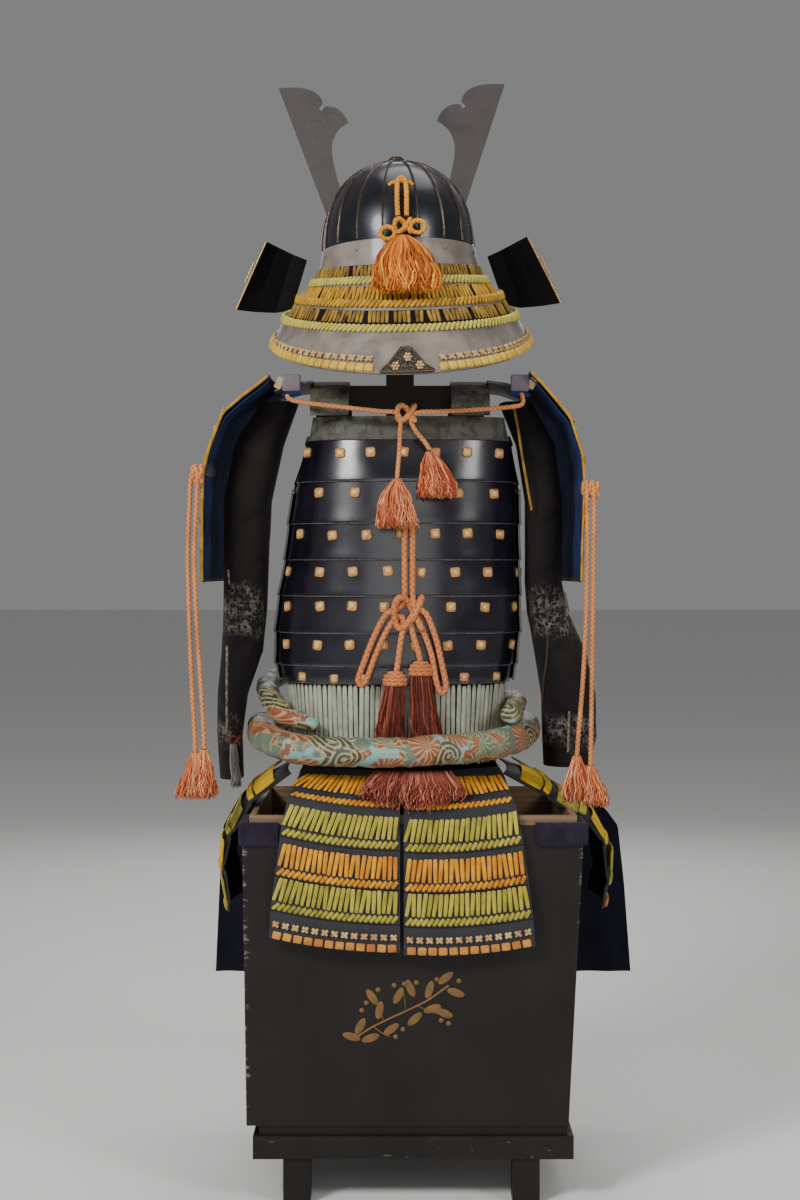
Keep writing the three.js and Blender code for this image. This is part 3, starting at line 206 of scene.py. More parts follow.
# Cords: diameters and routes.
CORD = {"back": 6.4, "side": 6.4, "bow": 8.4, "helmet": 7.0}
SIDE_CORDS = {
    "side_cord_left_1": [
        (-284, -118, 1004), (-290, -123, 990), (-292, -126, 950), (-294, -128, 890), (-293, -128, 830),
        (-291, -128, 760), (-288, -128, 690), (-285, -128, 640), (-284, -128, 607)],
    "side_cord_left_2": [
        (-282, -126, 999), (-281, -130, 975), (-283, -131, 930), (-285, -132, 880), (-283, -132, 820),
        (-279, -132, 750), (-275, -132, 690), (-272, -132, 640), (-271, -132, 613)],
    "side_cord_right_1": [
        (260, -119, 982), (259.5, -124, 955), (260, -127, 900), (259, -128, 840), (257, -128, 770),
        (253, -128, 700), (248, -128, 640), (245, -128, 601)],
    "side_cord_right_2": [
        (269, -119, 980), (269.5, -124, 953), (269, -127, 900), (268, -128, 840), (267, -128, 770),
        (266, -128, 700), (265, -128, 640), (264, -128, 588)],
}
BACK_CORDS = {
    "back_cord_left": [
        (-158, -101, 1104), (-150, -108, 1097), (-118, -118, 1091), (-70, -126, 1085), (-28, -133, 1080),
        (-6, -137, 1078), (0.5, -139, 1068), (0, -137, 1050), (-1, -133, 1024), (-3, -131, 1000), (-4, -130, 986)],
    "back_cord_right": [
        (170, -101, 1107), (171, -107, 1092), (150, -113, 1087), (104, -121, 1083), (58, -129, 1080),
        (24, -136, 1078), (15, -138, 1068), (22, -136, 1052), (34, -132, 1038), (41, -130, 1027)],
}
BACK_KNOT = {"x": 8, "y": -138, "z": 1076, "half_x": 14, "half_z": 12}
BOW_CORDS = {
    "bow_cord_left": [
        (12, -134.5, 928), (8, -133.5, 922), (6.4, -131, 905), (6.3, -130, 880), (6.3, -130, 850), (6.3, -131, 826),
        (3, -134, 812), (-6, -136, 806), (-20, -137, 798), (-36, -138, 768), (-50, -138, 732), (-58, -138, 708),
        (-53, -137, 701), (-46, -135, 710), (-35, -134, 740), (-20, -133, 774), (-6, -132, 794), (3, -133, 795),
        (5, -135, 784), (1, -134, 762), (-2, -133, 740), (-5, -132, 718)],
    "bow_cord_right": [
        (12, -134.5, 928), (16, -133.5, 922), (17.5, -131, 905), (17.5, -130, 880), (17.5, -130, 850),
        (17.5, -131, 826), (20, -134, 812), (26, -136, 806), (36, -137, 800), (49, -138, 768), (58, -138, 730),
        (64, -138, 698), (58, -137, 690), (51, -135, 704), (44, -134, 742), (32, -133, 776), (20, -132, 794),
        (13, -133, 794), (15, -135, 784), (20, -134, 764), (25, -133, 748), (28, -132, 734)],
}
BOW_KNOT = {"x": 10, "y": -135, "z": 801, "half_x": 17, "half_z": 19}
HELMET_CORD = [
    (-4, -134.5, 28), (-4.5, -130, 46), (-4, -121, 64), (-3, -110, 78), (-1, -103, 85), (3, -101.5, 87.5),
    (7, -103, 85), (8.5, -110, 78), (9, -121, 64), (8.5, -130, 46), (8, -134.5, 28)]
HELMET_KNOT = {"x": 2, "y": -138, "z": 8}

# Tassels: middle and half sizes of the bundle of threads, from the neck down.
TASSELS = {name: table("x y z half_x half_y", *rows) for name, rows in {
    "side_tassel_left_1": (
        (-284, -128, 607, 6, 6), (-284, -129, 588, 13, 9), (-289, -130, 562, 19, 12), (-291, -130, 541, 19, 13)),
    "side_tassel_left_2": (
        (-271, -132, 612, 6, 6), (-271, -132, 592, 12, 8), (-271, -131, 564, 17, 12), (-272, -131, 541, 18, 13)),
    "side_tassel_right_1": (
        (245, -128, 602, 6, 6), (245, -129, 584, 13, 9), (243, -130, 558, 20, 12), (244, -130, 536, 19, 13)),
    "side_tassel_right_2": (
        (264, -128, 589, 6, 6), (265, -129, 572, 13, 9), (270, -130, 549, 18, 12), (273, -130, 531, 18, 13)),
    "back_tassel_left": (
        (-4, -131, 986, 6, 6), (-6, -137, 968, 19, 7.5), (-6, -145, 940, 27, 8), (-5, -149, 915, 31, 8)),
    "back_tassel_right": (
        (41.5, -130, 1024, 6, 6), (46, -131, 1008, 17, 9), (52, -132, 980, 26, 10), (54, -132, 957, 29, 11)),
    "bow_tassel_left": (
        (-7, -132, 700, 14, 11), (-8, -132, 690, 16, 11), (-12, -130, 660, 18, 10), (-16, -126, 600, 22, 8)),
    "bow_tassel_right": (
        (29, -132, 714, 15, 11), (30, -132, 704, 17, 11), (33, -130, 664, 19, 10), (40, -126, 600, 24, 8)),
}.items()}
HELMET_TASSEL = table("x y z half_x half_y", (2, -141, 0, 9, 7), (3, -148, -14, 27, 9), (3, -154, -30, 39, 10),
                      (4, -165, -56, 45, 11), (5, -184, -88, 43, 10))
FRINGE = table("z y left right half", (584, -151.5, -34, 70, 4.5), (562, -167, -56, 88, 7), (534, -200, -50, 84, 6))


# ---------------------------------------------------------------- places and forms

def to_frame(point):
    return (ORIGIN_X + point[0] * MM, ORIGIN_Y + point[1] * MM, point[2] * MM)


def from_helmet(point):
    """Turns a point of the helmet's own frame into the maker's frame."""
    cr, sr = math.cos(HELMET["roll"]), math.sin(HELMET["roll"])
    cy, sy = math.cos(HELMET["yaw"]), math.sin(HELMET["yaw"])
    x, y, z = point
    x, z = x * cr + z * sr, -x * sr + z * cr
    return (HELMET["x"] + x * cy - y * sy, HELMET["y"] + x * sy + y * cy, HELMET["z"] + z)


def steps(start, end, count):
    return [start + (end - start) * i / count for i in range(count + 1)]


def power(value, exponent):
    return math.copysign(abs(value) ** exponent, value)


def row_at(rows, z):
    """The row of a table at a height, between its neighbours."""
    rising = sorted(rows, key=lambda row: row["z"])
    heights = [row["z"] for row in rising]
    return {key: float(np.interp(z, heights, [row[key] for row in rising])) for key in rising[0]}


def section_point(row, angle, proud=0.0):
    across, along = math.cos(angle), math.sin(angle)
    reach_x = (row["left"] if across < 0 else row["right"]) + proud
    reach_y = (row["back"] if along < 0 else row["front"]) + proud
    return (power(across, SECTION_POWER) * reach_x, power(along, SECTION_POWER) * reach_y, row["z"])


def outward_at(rows, z, key):
    low_z, high_z = min(row["z"] for row in rows), max(row["z"] for row in rows)
    low, high = row_at(rows, max(low_z, z - 12)), row_at(rows, min(high_z, z + 12))
    rise, run = high["z"] - low["z"], high[key] - low[key]
    size = math.hypot(rise, run)
    return rise / size, -run / size


def panel_point(panel, z, u, proud=0.0):
    row = row_at(panel["rows"], z)
    out, up = outward_at(panel["rows"], z, "out")
    settle = min(1, (584 - z) / 60)
    climb = panel["rise"] * ((u - panel["low"]) / (1 - panel["low"])) ** 2 * settle
    distance = row["out"] - row["bow"] * u * u + proud * out
    x = panel["shift"] + panel["side"] * (row["inner"] + (row["outer"] - row["inner"]) * u)
    return (x, panel["facing"] * distance, z + climb + panel["drop"] * settle + proud * up)


def sheet_point(form, z, v, proud=0.0):
    row = row_at(form["profile"], z)
    out, up = outward_at(form["profile"], z, "x")
    bulge = form["bow"] * (1 - (2 * v - 1) ** 2)
    x = row["x"] - form["skew"] * v + bulge + proud * out
    return (form["side"] * x, form["back"] + (form["front"] - form["back"]) * v, z + proud * up)


def neck_point(rows, place, angle, proud=0.0):
    """A point on a neck lame: place 0 is its top edge and 1 its lower edge."""
    at = place * (len(rows) - 1)
    i = min(int(at), len(rows) - 2)
    mix = {key: rows[i][key] + (rows[i + 1][key] - rows[i][key]) * (at - i) for key in rows[0]}
    share = 1 - math.cos(angle)
    return from_helmet((
        math.sin(angle) * (mix["a"] + proud), -math.cos(angle) * (mix["b"] + proud),
        mix["z"] + mix["rise"] * share))


def bowl_point(angle, lift, proud=0.0):
    """angle runs from +X, lift from the rim up to the crown."""
    reach = max(0.0, math.cos(lift)) ** BOWL["power"]
    return from_helmet((
        math.cos(angle) * reach * (BOWL["half_width"] + proud),
        math.sin(angle) * reach * (BOWL["half_depth"] + proud),
        max(0.0, math.sin(lift)) ** BOWL["power"] * (BOWL["height"] + proud)))


def sash_point(angle):
    across, along = math.cos(angle), math.sin(angle)
    x = power(across, SECTION_POWER) * (SASH["left"] if across < 0 else SASH["right"])
    y = power(along, SECTION_POWER) * (SASH["back"] if along < 0 else SASH["front"])
    behind = max(0.0, -along)
    return (x, y, SASH["z"] + SASH["tilt"] * x * behind + SASH["climb"] * (1 - behind))


def chest_rect(z, inset):
    top, foot = CHEST["top"], CHEST["foot"]
    share = (z - foot["z"]) / (top["z"] - foot["z"])
    mix = {key: foot[key] + (top[key] - foot[key]) * share for key in ("left", "right", "back", "front")}
    return mix["left"] + inset, mix["right"] - inset, mix["back"] + inset, mix["front"] - inset


def smooth_path(points, spacing):
    """A smooth line through the points, with a point about every `spacing` millimetres."""
    knots = [Vector(p) for p in points]
    line = []
    for i in range(len(knots) - 1):
        before, start = knots[max(0, i - 1)], knots[i]
        end, after = knots[i + 1], knots[min(len(knots) - 1, i + 2)]
        count = max(1, round((end - start).length / spacing))
        for j in range(count):
            t = j / count
            line.append(0.5 * (2 * start + (end - before) * t
                               + (2 * before - 5 * start + 4 * end - after) * t * t
                               + (3 * start - before - 3 * end + after) * t ** 3))
    line.append(knots[-1])
    return line


def path_length(line):
    return sum((line[i + 1] - line[i]).length for i in range(len(line) - 1))


def run_at(line):
    """The length of a line up to each of its points."""
    return np.concatenate([[0], np.cumsum([(line[i + 1] - line[i]).length for i in range(len(line) - 1)])])


def chance(index, salt=0.0):
    """A steady number from 0 to 1 for the piece with this index."""
    value = math.sin(index * 12.9898 + salt * 78.233) * 43758.5453
    return value - math.floor(value)


# ---------------------------------------------------------------- meshes

def new_object(name, points, faces, uvs=None, tones=None):
    mesh = bpy.data.meshes.new(name)
    mesh.from_pydata([tuple(p) for p in points], [], faces)
    if uvs is not None:
        layer = mesh.uv_layers.new(name="flat")
        loops = np.zeros(len(mesh.loops), int)
        mesh.loops.foreach_get("vertex_index", loops)
        layer.data.foreach_set("uv", np.asarray(uvs, np.float32)[loops].ravel())
    if tones is not None:
        mesh.attributes.new("tone", "FLOAT", "POINT").data.foreach_set("value", np.asarray(tones, np.float32))
    mesh.validate()
    obj = bpy.data.objects.new(name, mesh)
    bpy.context.collection.objects.link(obj)
    return obj


def select_only(obj):
    if bpy.context.object and bpy.context.object.mode != "OBJECT":
        bpy.ops.object.mode_set(mode="OBJECT")
    bpy.ops.object.select_all(action="DESELECT")
    obj.select_set(True)
    bpy.context.view_layer.objects.active = obj


@contextlib.contextmanager
def edit_all(obj):
    """Edit mode with every part of the object selected."""
    select_only(obj)
    bpy.ops.object.mode_set(mode="EDIT")
    bpy.ops.mesh.select_all(action="SELECT")
    yield
    bpy.ops.object.mode_set(mode="OBJECT")


def apply_all(obj):
    select_only(obj)
    for modifier in list(obj.modifiers):
        bpy.ops.object.modifier_apply(modifier=modifier.name)


def smooth(obj, angle=40):
    select_only(obj)
    bpy.ops.object.shade_smooth_by_angle(angle=math.radians(angle))


def paint(obj, finish):
    obj.data.materials.clear()
    obj.data.materials.append(FINISHES[finish])


def dress(obj, finish, slot, replaced=()):
    """Gives a finished piece its finish and its body, and hides the parts that it replaces; the slot is not used."""
    paint(obj, finish)
    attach(obj, "root")
    if replaced:
        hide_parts(*replaced)
    return obj


def sheet_object(name, rows, thick=0.0, ring=False, outside=None, angle=60):
    """A grid of points in millimetres made a smooth skin. `outside` is a point that its face looks towards."""
    points = [to_frame(p) for row in rows for p in row]
    across = len(rows[0])
    uvs = []
    for r, row in enumerate(rows):
        run = 0.0
        for c, p in enumerate(row):
            if c:
                run += math.dist(p, row[c - 1])
            uvs.append((run * MM, r / max(1, len(rows) - 1)))
    faces = []
    for r in range(len(rows) - 1):
        for c in range(across if ring else across - 1):
            d = (c + 1) % across
            faces.append((r * across + c, r * across + d, (r + 1) * across + d, (r + 1) * across + c))
    middle = (len(rows) - 1) // 2
    a, b, c, _ = (Vector(points[i]) for i in faces[middle * (across if ring else across - 1) + across // 2])
    towards = a - sum((Vector(to_frame(p)) for p in rows[middle]), Vector()) / across
    if outside is not None:
        towards = Vector(to_frame(outside)) - a
    if (b - a).cross(c - a).dot(towards) < 0:
        faces = [tuple(reversed(face)) for face in faces]
    obj = new_object(name, points, faces, uvs)
    if thick:
        wall = obj.modifiers.new("wall", "SOLIDIFY")
        wall.thickness = thick * MM
        wall.offset = -1
        apply_all(obj)
    smooth(obj, angle)
    return obj


def flat_size(rows, row, column):
    """A sheet's flat size in metres: along one row of its grid and down one column."""
    across = path_length([Vector(p) for p in rows[row]])
    down = path_length([Vector(line[column]) for line in rows])
    return round(across * MM, 3), round(down * MM, 3)


def take_shape(obj):
    """Takes a modelled shape as points and faces, in millimetres, and removes its object."""
    points = np.array([v.co for v in obj.data.vertices]) / MM
    faces = [tuple(p.vertices) for p in obj.data.polygons]
    bpy.data.objects.remove(obj, do_unlink=True)
    return points, faces


def small_block(size, bevel, segments=2):
    """A small block with rounded edges, modelled at the origin. Sizes are millimetres."""
    bpy.ops.object.select_all(action="DESELECT")
    bpy.ops.mesh.primitive_cube_add(size=1)
    with edit_all(bpy.context.object):
        bpy.ops.transform.resize(value=tuple(s * MM for s in size))
        bpy.ops.mesh.bevel(offset=bevel * MM, segments=segments, profile=0.5, affect="EDGES")
    return take_shape(bpy.context.object)


def small_ball(size, rings=6, segments=8):
    bpy.ops.object.select_all(action="DESELECT")
    bpy.ops.mesh.primitive_uv_sphere_add(segments=segments, ring_count=rings, radius=0.5)
    with edit_all(bpy.context.object):
        bpy.ops.transform.resize(value=tuple(s * MM for s in size))
    return take_shape(bpy.context.object)


def lace_shape(width, thick, length):
    """One flat lace, rounded at both ends, hanging along Z with its face towards -Y."""
    stations = [(-0.5, 0.3), (-0.46, 0.6), (-0.25, 0.82), (0.1, 0.96), (0.36, 1.0), (0.46, 0.78), (0.5, 0.3)]
    points, faces = [], []
    for share, full in stations:
        for k in range(8):
            turn = TURN * (k + 0.5) / 8
            points.append((math.cos(turn) * width / 2 * (0.55 + 0.45 * full),
                           math.sin(turn) * thick / 2 * full, share * length))
    for r in range(len(stations) - 1):
        for k in range(8):
            faces.append((r * 8 + k, r * 8 + (k + 1) % 8, (r + 1) * 8 + (k + 1) % 8, (r + 1) * 8 + k))
    faces.append(tuple(range(7, -1, -1)))
    faces.append(tuple(range((len(stations) - 1) * 8, len(stations) * 8)))
    return np.array(points), faces


def many(name, shape, places, salt=0.0):
    """Copies one small shape to many places as one mesh. A place is a 4 x 4 matrix in millimetres."""
    points, faces = shape
    all_points, all_faces, tones = [], [], []
    flat = np.hstack([points, np.ones((len(points), 1))])
    for i, place in enumerate(places):
        start = i * len(points)
        moved = flat @ np.array(place).T
        all_points.append(moved[:, :3])
        all_faces.extend(tuple(v + start for v in face) for face in faces)
        tones.extend([chance(i, salt)] * len(points))
    stacked = np.vstack(all_points) * MM + np.array([ORIGIN_X, ORIGIN_Y, 0])
    obj = new_object(name, stacked, all_faces, tones=tones)
    smooth(obj, 50)
    return obj


def place_on(surface, a, b, out, step_a, step_b, turn=0.0, size=(1, 1, 1)):
    """The place of a small shape on a surface(a, b, out): X along a, Z along b, -Y outwards."""
    here = Vector(surface(a, b, out))
    along = (Vector(surface(a + step_a, b, out)) - Vector(surface(a - step_a, b, out))).normalized()
    up = (Vector(surface(a, b + step_b, out)) - Vector(surface(a, b - step_b, out))).normalized()
    if up.z < 0:
        up = -up
    far = (Vector(surface(a, b, out + 1)) - here).normalized()
    up = (up - along * up.dot(along)).normalized()
    side = up.cross(along)
    if side.dot(far) > 0:
        along, side = -along, -side
    basis = Matrix((along, side, up)).transposed().to_4x4()
    spin = Matrix.Rotation(turn, 4, "Y")
    scale = Matrix.Diagonal((*size, 1))
    return Matrix.Translation(here) @ basis @ spin @ scale


def tube_rings(line, radius, sides=10, squash=1.0):
    """Rings of points around a line, turned as little as possible from one to the next."""
    rings, reference = [], None
    for i, point in enumerate(line):
        ahead = (line[min(i + 1, len(line) - 1)] - line[max(i - 1, 0)]).normalized()
        if reference is None:
            reference = ahead.orthogonal().normalized()
        reference = (reference - ahead * reference.dot(ahead)).normalized()
        other = ahead.cross(reference)
        size = radius[i] if hasattr(radius, "__len__") else radius
        rings.append([point + reference * (math.cos(TURN * k / sides) * size)
                      + other * (math.sin(TURN * k / sides) * size * squash) for k in range(sides)])
    return rings


def tube_object(name, line, radius, sides=10, squash=1.0, tone=0.5):
    """A closed tube along a line in millimetres, with its length in the U of its map."""
    rings = tube_rings(line, radius, sides, squash)
    points, uvs, faces = [], [], []
    run = 0.0
    for i, ring in enumerate(rings):
        if i:
            run += (line[i] - line[i - 1]).length
        closed = ring + [ring[0]]
        for k, p in enumerate(closed):
            points.append(to_frame(p))
            uvs.append((run * MM, k / sides))
    across = sides + 1
    for i in range(len(rings) - 1):
        for k in range(sides):
            faces.append((i * across + k, i * across + k + 1, (i + 1) * across + k + 1, (i + 1) * across + k))
    first = len(points)
    points.append(to_frame(line[0]))
    uvs.append((0.0, 0.5))
    points.append(to_frame(line[-1]))
    uvs.append((run * MM, 0.5))
    last = (len(rings) - 1) * across
    for k in range(sides):
        faces.append((first, k + 1, k))
        faces.append((first + 1, last + k, last + k + 1))
    obj = new_object(name, points, faces, uvs, [tone] * len(points))
    with edit_all(obj):
        bpy.ops.mesh.remove_doubles(threshold=0.00001)
        bpy.ops.mesh.normals_make_consistent(inside=False)
    smooth(obj, 60)
    return obj


def join(name, objects):
    select_only(objects[0])
    for obj in objects:
        obj.select_set(True)
    bpy.context.view_layer.objects.active = objects[0]
    if len(objects) > 1:
        bpy.ops.object.join()
    joined = bpy.context.object
    joined.name = name
    joined.data.name = name
    return joined


class Threads:
    """Three-sided threads that go into one mesh, each with its own tone."""

    def __init__(self):
        self.points, self.faces, self.tones = [], [], []

    def station(self, centre, radius, turn, tone, turnover=lambda p: p):
        for k in range(3):
            angle = TURN * k / 3 + turn
            x, y, z = centre
            self.points.append(to_frame(turnover((x + math.cos(angle) * radius, y + math.sin(angle) * radius, z))))
            self.tones.append(tone)

    def close(self, stations):
        """Joins the last stations as one thread with closed ends."""
        start = len(self.points) - stations * 3
        for s in range(stations - 1):
            for k in range(3):
                a, b = start + s * 3 + k, start + s * 3 + (k + 1) % 3
                self.faces.append((a, a + 3, b + 3, b))
        tail = start + (stations - 1) * 3
        self.faces += [(start, start + 1, start + 2), (tail + 2, tail + 1, tail)]

    def finish(self, name):
        obj = new_object(name, self.points, self.faces, tones=self.tones)
        select_only(obj)
        bpy.ops.object.shade_smooth()
        return obj


def threads_object(name, rows, count, seed, thick=0.9, wave=1.6, helmet=False):
    """A tassel: threads that fall from its neck through each row."""
    rng = np.random.default_rng(seed)
    stations = 11
    heights = [row["z"] for row in rows]
    threads = Threads()
    turnover = from_helmet if helmet else (lambda p: p)
    for _ in range(count):
        angle = rng.uniform(0, TURN)
        share = math.sqrt(rng.uniform(0.25, 1.0))
        tone = rng.uniform(0, 1)
        phase, waves = rng.uniform(0, TURN), rng.uniform(1.2, 2.6)
        end = rng.uniform(0.86, 0.96) + 0.04 * math.sqrt(1 - share * share)
        for s in range(stations):
            t = s / (stations - 1) * end
            z = heights[0] + (heights[-1] - heights[0]) * t
            row = row_at(rows, z)
            sway = wave * t * math.sin(phase + waves * TURN * t)
            drift = wave * 0.7 * t * math.cos(phase * 1.7 + waves * 0.6 * TURN * t)
            radius = thick * (1.0 if s < stations - 1 else 0.35)
            cx = row["x"] + math.cos(angle) * (row["half_x"] - thick) * share + sway + drift
            cy = row["y"] + math.sin(angle) * (row["half_y"] - thick) * share + sway * 0.4 - drift * 0.6
            threads.station((cx, cy, z), radius, angle, tone, turnover)
        threads.close(stations)
    return threads.finish(name)


# ---------------------------------------------------------------- finishes

class Sockets:
    """Adds nodes to a tree and joins them, from the first socket's name to the next."""

    def __init__(self, tree):
        self.tree = tree

    def add(self, kind, values=None, **settings):
        node = self.tree.nodes.new(kind)
        for key, value in settings.items():
            setattr(node, key, value)
        for key, value in (values or {}).items():
            if isinstance(value, bpy.types.NodeSocket):
                self.tree.links.new(value, node.inputs[key])
            else:
                node.inputs[key].default_value = value
        return node

    def math(self, operation, a, b=0.0, clamp=False):
        return self.add("ShaderNodeMath", {0: a, 1: b}, operation=operation, use_clamp=clamp).outputs[0]

    def times(self, a, b):
        return self.math("MULTIPLY", a, b)

    def plus(self, a, b, clamp=False):
        return self.math("ADD", a, b, clamp)

    def minus(self, a, b, clamp=False):
        return self.math("SUBTRACT", a, b, clamp)

    def effect(self, name, vector, **values):
        return self.add("ShaderNodeGroup", {"Vector": vector, **values}, node_tree=EFFECTS[name])

    def between(self, value, low, high, out_low=0.0, out_high=1.0):
        return self.add("ShaderNodeMapRange", {
            "Value": value, "From Min": low, "From Max": high, "To Min": out_low, "To Max": out_high}).outputs[0]

    def mix(self, share, first, second, blend="MIX"):
        node = self.add("ShaderNodeMix", data_type="RGBA", blend_type=blend)
        for index, value in ((0, share), (6, first), (7, second)):
            if isinstance(value, bpy.types.NodeSocket):
                self.tree.links.new(value, node.inputs[index])
            elif index == 0:
                node.inputs[index].default_value = value
            else:
                node.inputs[index].default_value = (*value[:3], 1.0)
        return node.outputs[2]


def new_group(name, inputs, outputs):
    group = bpy.data.node_groups.new(name, "ShaderNodeTree")
    for label, kind, default in inputs:
        socket = group.interface.new_socket(label, in_out="INPUT", socket_type=f"NodeSocket{kind}")
        if default is not None:
            socket.default_value = default
    for label, kind in outputs:
        group.interface.new_socket(label, in_out="OUTPUT", socket_type=f"NodeSocket{kind}")
    nodes = Sockets(group)
    start = nodes.add("NodeGroupInput")
    end = nodes.add("NodeGroupOutput")
    return group, nodes, start, end


def mottling_group():
    """Uneven shade over a surface: large soft patches with fine grain on them."""
    group, nodes, start, end = new_group(
        "Mottling", [("Vector", "Vector", None), ("Scale", "Float", 20.0)], [("Patch", "Float"), ("Grain", "Float")])
    patch = nodes.add("ShaderNodeTexNoise", {
        "Vector": start.outputs["Vector"], "Scale": start.outputs["Scale"], "Detail": 3.0, "Roughness": 0.6})
    finer = nodes.times(start.outputs["Scale"], 14.0)
    grain = nodes.add("ShaderNodeTexNoise", {
        "Vector": start.outputs["Vector"], "Scale": finer, "Detail": 2.0, "Roughness": 0.7})
    group.links.new(nodes.between(patch.outputs["Fac"], 0.35, 0.65), end.inputs["Patch"])
    group.links.new(grain.outputs["Fac"], end.inputs["Grain"])
    return group


def weave_group():
    """Crossing threads: Height stands over each thread, and Shade darkens between them."""
    group, nodes, start, end = new_group(
        "Plain weave", [("Vector", "Vector", None), ("Threads", "Float", 600.0)],
        [("Height", "Float"), ("Shade", "Float")])
    waves = []
    for direction in ("X", "Y", "Z"):
        wave = nodes.add("ShaderNodeTexWave", {
            "Vector": start.outputs["Vector"], "Scale": start.outputs["Threads"], "Distortion": 0.6,
            "Detail": 1.0}, wave_type="BANDS", bands_direction=direction)
        waves.append(wave.outputs["Fac"])
    height = nodes.times(nodes.plus(nodes.plus(waves[0], waves[1]), waves[2]), 1 / 3)
    group.links.new(height, end.inputs["Height"])
    group.links.new(nodes.between(height, 0.2, 0.8, 0.75, 1.0), end.inputs["Shade"])
    return group


def worn_group():
    """Wear in specks and patches, from 0 where the finish is whole to 1 where it is gone."""
    group, nodes, start, end = new_group(
        "Worn patches", [("Vector", "Vector", None), ("Scale", "Float", 40.0), ("Amount", "Float", 0.3)],
        [("Mask", "Float")])
    noise = nodes.add("ShaderNodeTexNoise", {
        "Vector": start.outputs["Vector"], "Scale": start.outputs["Scale"], "Detail": 6.0, "Roughness": 0.75})
    level = nodes.minus(0.78, nodes.times(start.outputs["Amount"], 0.45))
    over = nodes.minus(noise.outputs["Fac"], level)
    group.links.new(nodes.math("MULTIPLY", over, 14.0, clamp=True), end.inputs["Mask"])
    return group


def braid_group():
    """Strands of a round braid, read from a map with length in U and turn in V."""
    group, nodes, start, end = new_group(
        "Braid", [("Vector", "Vector", None), ("Pitch", "Float", 260.0)], [("Height", "Float"), ("Shade", "Float")])
    parts = nodes.add("ShaderNodeSeparateXYZ", {0: start.outputs["Vector"]})
    along = nodes.times(parts.outputs[0], start.outputs["Pitch"])
    turns = nodes.times(parts.outputs[1], 2.0)
    left = nodes.math("SINE", nodes.times(nodes.plus(along, turns), TURN))
    right = nodes.math("SINE", nodes.times(nodes.minus(along, turns), TURN))
    height = nodes.math("MAXIMUM", left, right)
    group.links.new(height, end.inputs["Height"])
    group.links.new(nodes.between(height, 0.0, 1.0, 0.62, 1.0), end.inputs["Shade"])
    return group


def flower_group():
    """Round open flowers with many narrow petals, laid round a roll of cloth in one row of uneven cells."""
    group, nodes, start, end = new_group(
        "Round flowers", [("Vector", "Vector", None), ("Scale", "Float", 18.0)],
        [("Petals", "Float"), ("Rings", "Float"), ("Disc", "Float"), ("Which", "Color")])
    place = nodes.add("ShaderNodeSeparateXYZ", {0: start.outputs["Vector"]})
    round_about = nodes.plus(place.outputs[0], nodes.times(place.outputs[1], 0.9))
    flat = nodes.add("ShaderNodeCombineXYZ", {0: round_about, 1: place.outputs[2]}).outputs[0]
    cells = nodes.add("ShaderNodeTexVoronoi", {
        "Vector": flat, "Scale": start.outputs["Scale"], "Randomness": 0.75}, voronoi_dimensions="2D")
    offset = nodes.add("ShaderNodeVectorMath", {0: flat, 1: cells.outputs["Position"]}, operation="SUBTRACT")
    parts = nodes.add("ShaderNodeSeparateXYZ", {0: offset.outputs[0]})
    around = nodes.math("ARCTAN2", parts.outputs[1], parts.outputs[0])
    petals = nodes.math("COSINE", nodes.times(around, 15.0))
    rings = nodes.math("SINE", nodes.times(cells.outputs["Distance"], 44.0))
    group.links.new(nodes.between(petals, 0.25, 0.75), end.inputs["Petals"])
    group.links.new(nodes.between(rings, 0.1, 0.6), end.inputs["Rings"])
    group.links.new(nodes.between(cells.outputs["Distance"], 0.5, 0.46), end.inputs["Disc"])
    group.links.new(cells.outputs["Color"], end.inputs["Which"])
    return group


EFFECTS = {}


class Finish(Sockets):
    """The nodes of one material: a Principled shader, and Object coordinates as its place."""

    def __init__(self, name, roughness=0.5, metallic=0.0, **constants):
        self.material = bpy.data.materials.new(name)
        self.material.use_nodes = True
        super().__init__(self.material.node_tree)
        self.tree.nodes.clear()
        output = self.add("ShaderNodeOutputMaterial")
        self.shader = self.add("ShaderNodeBsdfPrincipled", {"Roughness": roughness, "Metallic": metallic})
        for key, value in constants.items():
            self.shader.inputs[key.replace("_", " ").title().replace("Ior", "IOR")].default_value = value
        self.tree.links.new(self.shader.outputs[0], output.inputs[0])
        self.place = self.add("ShaderNodeTexCoord").outputs["Object"]

    def feed(self, socket, value):
        self.tree.links.new(value, self.shader.inputs[socket])

    def bump(self, height, strength, distance):
        values = {"Height": height, "Strength": strength, "Distance": distance}
        self.feed("Normal", self.add("ShaderNodeBump", values).outputs[0])


def lacquer(name, colour, worn_colour, roughness=0.22, worn=0.2, metallic=0.0, scale=30.0, bump=0.15, coat=0.2,
            specular=0.5):
    """Lacquer or lacquered iron: nearly even, with cloudy gloss and specks of wear."""
    nodes = Finish(name, roughness, metallic, coat_weight=coat, coat_roughness=0.15, specular_ior_level=specular)
    patches = nodes.effect("Mottling", nodes.place, Scale=scale)
    wear = nodes.effect("Worn patches", nodes.place, Scale=scale * 2.2, Amount=worn)
    dark = tuple(c * 0.6 for c in colour)
    base = nodes.mix(patches.outputs["Patch"], dark, colour)
    nodes.feed("Base Color", nodes.mix(wear.outputs["Mask"], base, worn_colour))
    gloss = nodes.between(patches.outputs["Patch"], 0.0, 1.0, roughness * 0.8, roughness * 1.35)
    nodes.feed("Roughness", nodes.plus(gloss, nodes.times(wear.outputs["Mask"], 0.3), clamp=True))
    nodes.bump(patches.outputs["Grain"], bump, 0.0004)
    return nodes.material


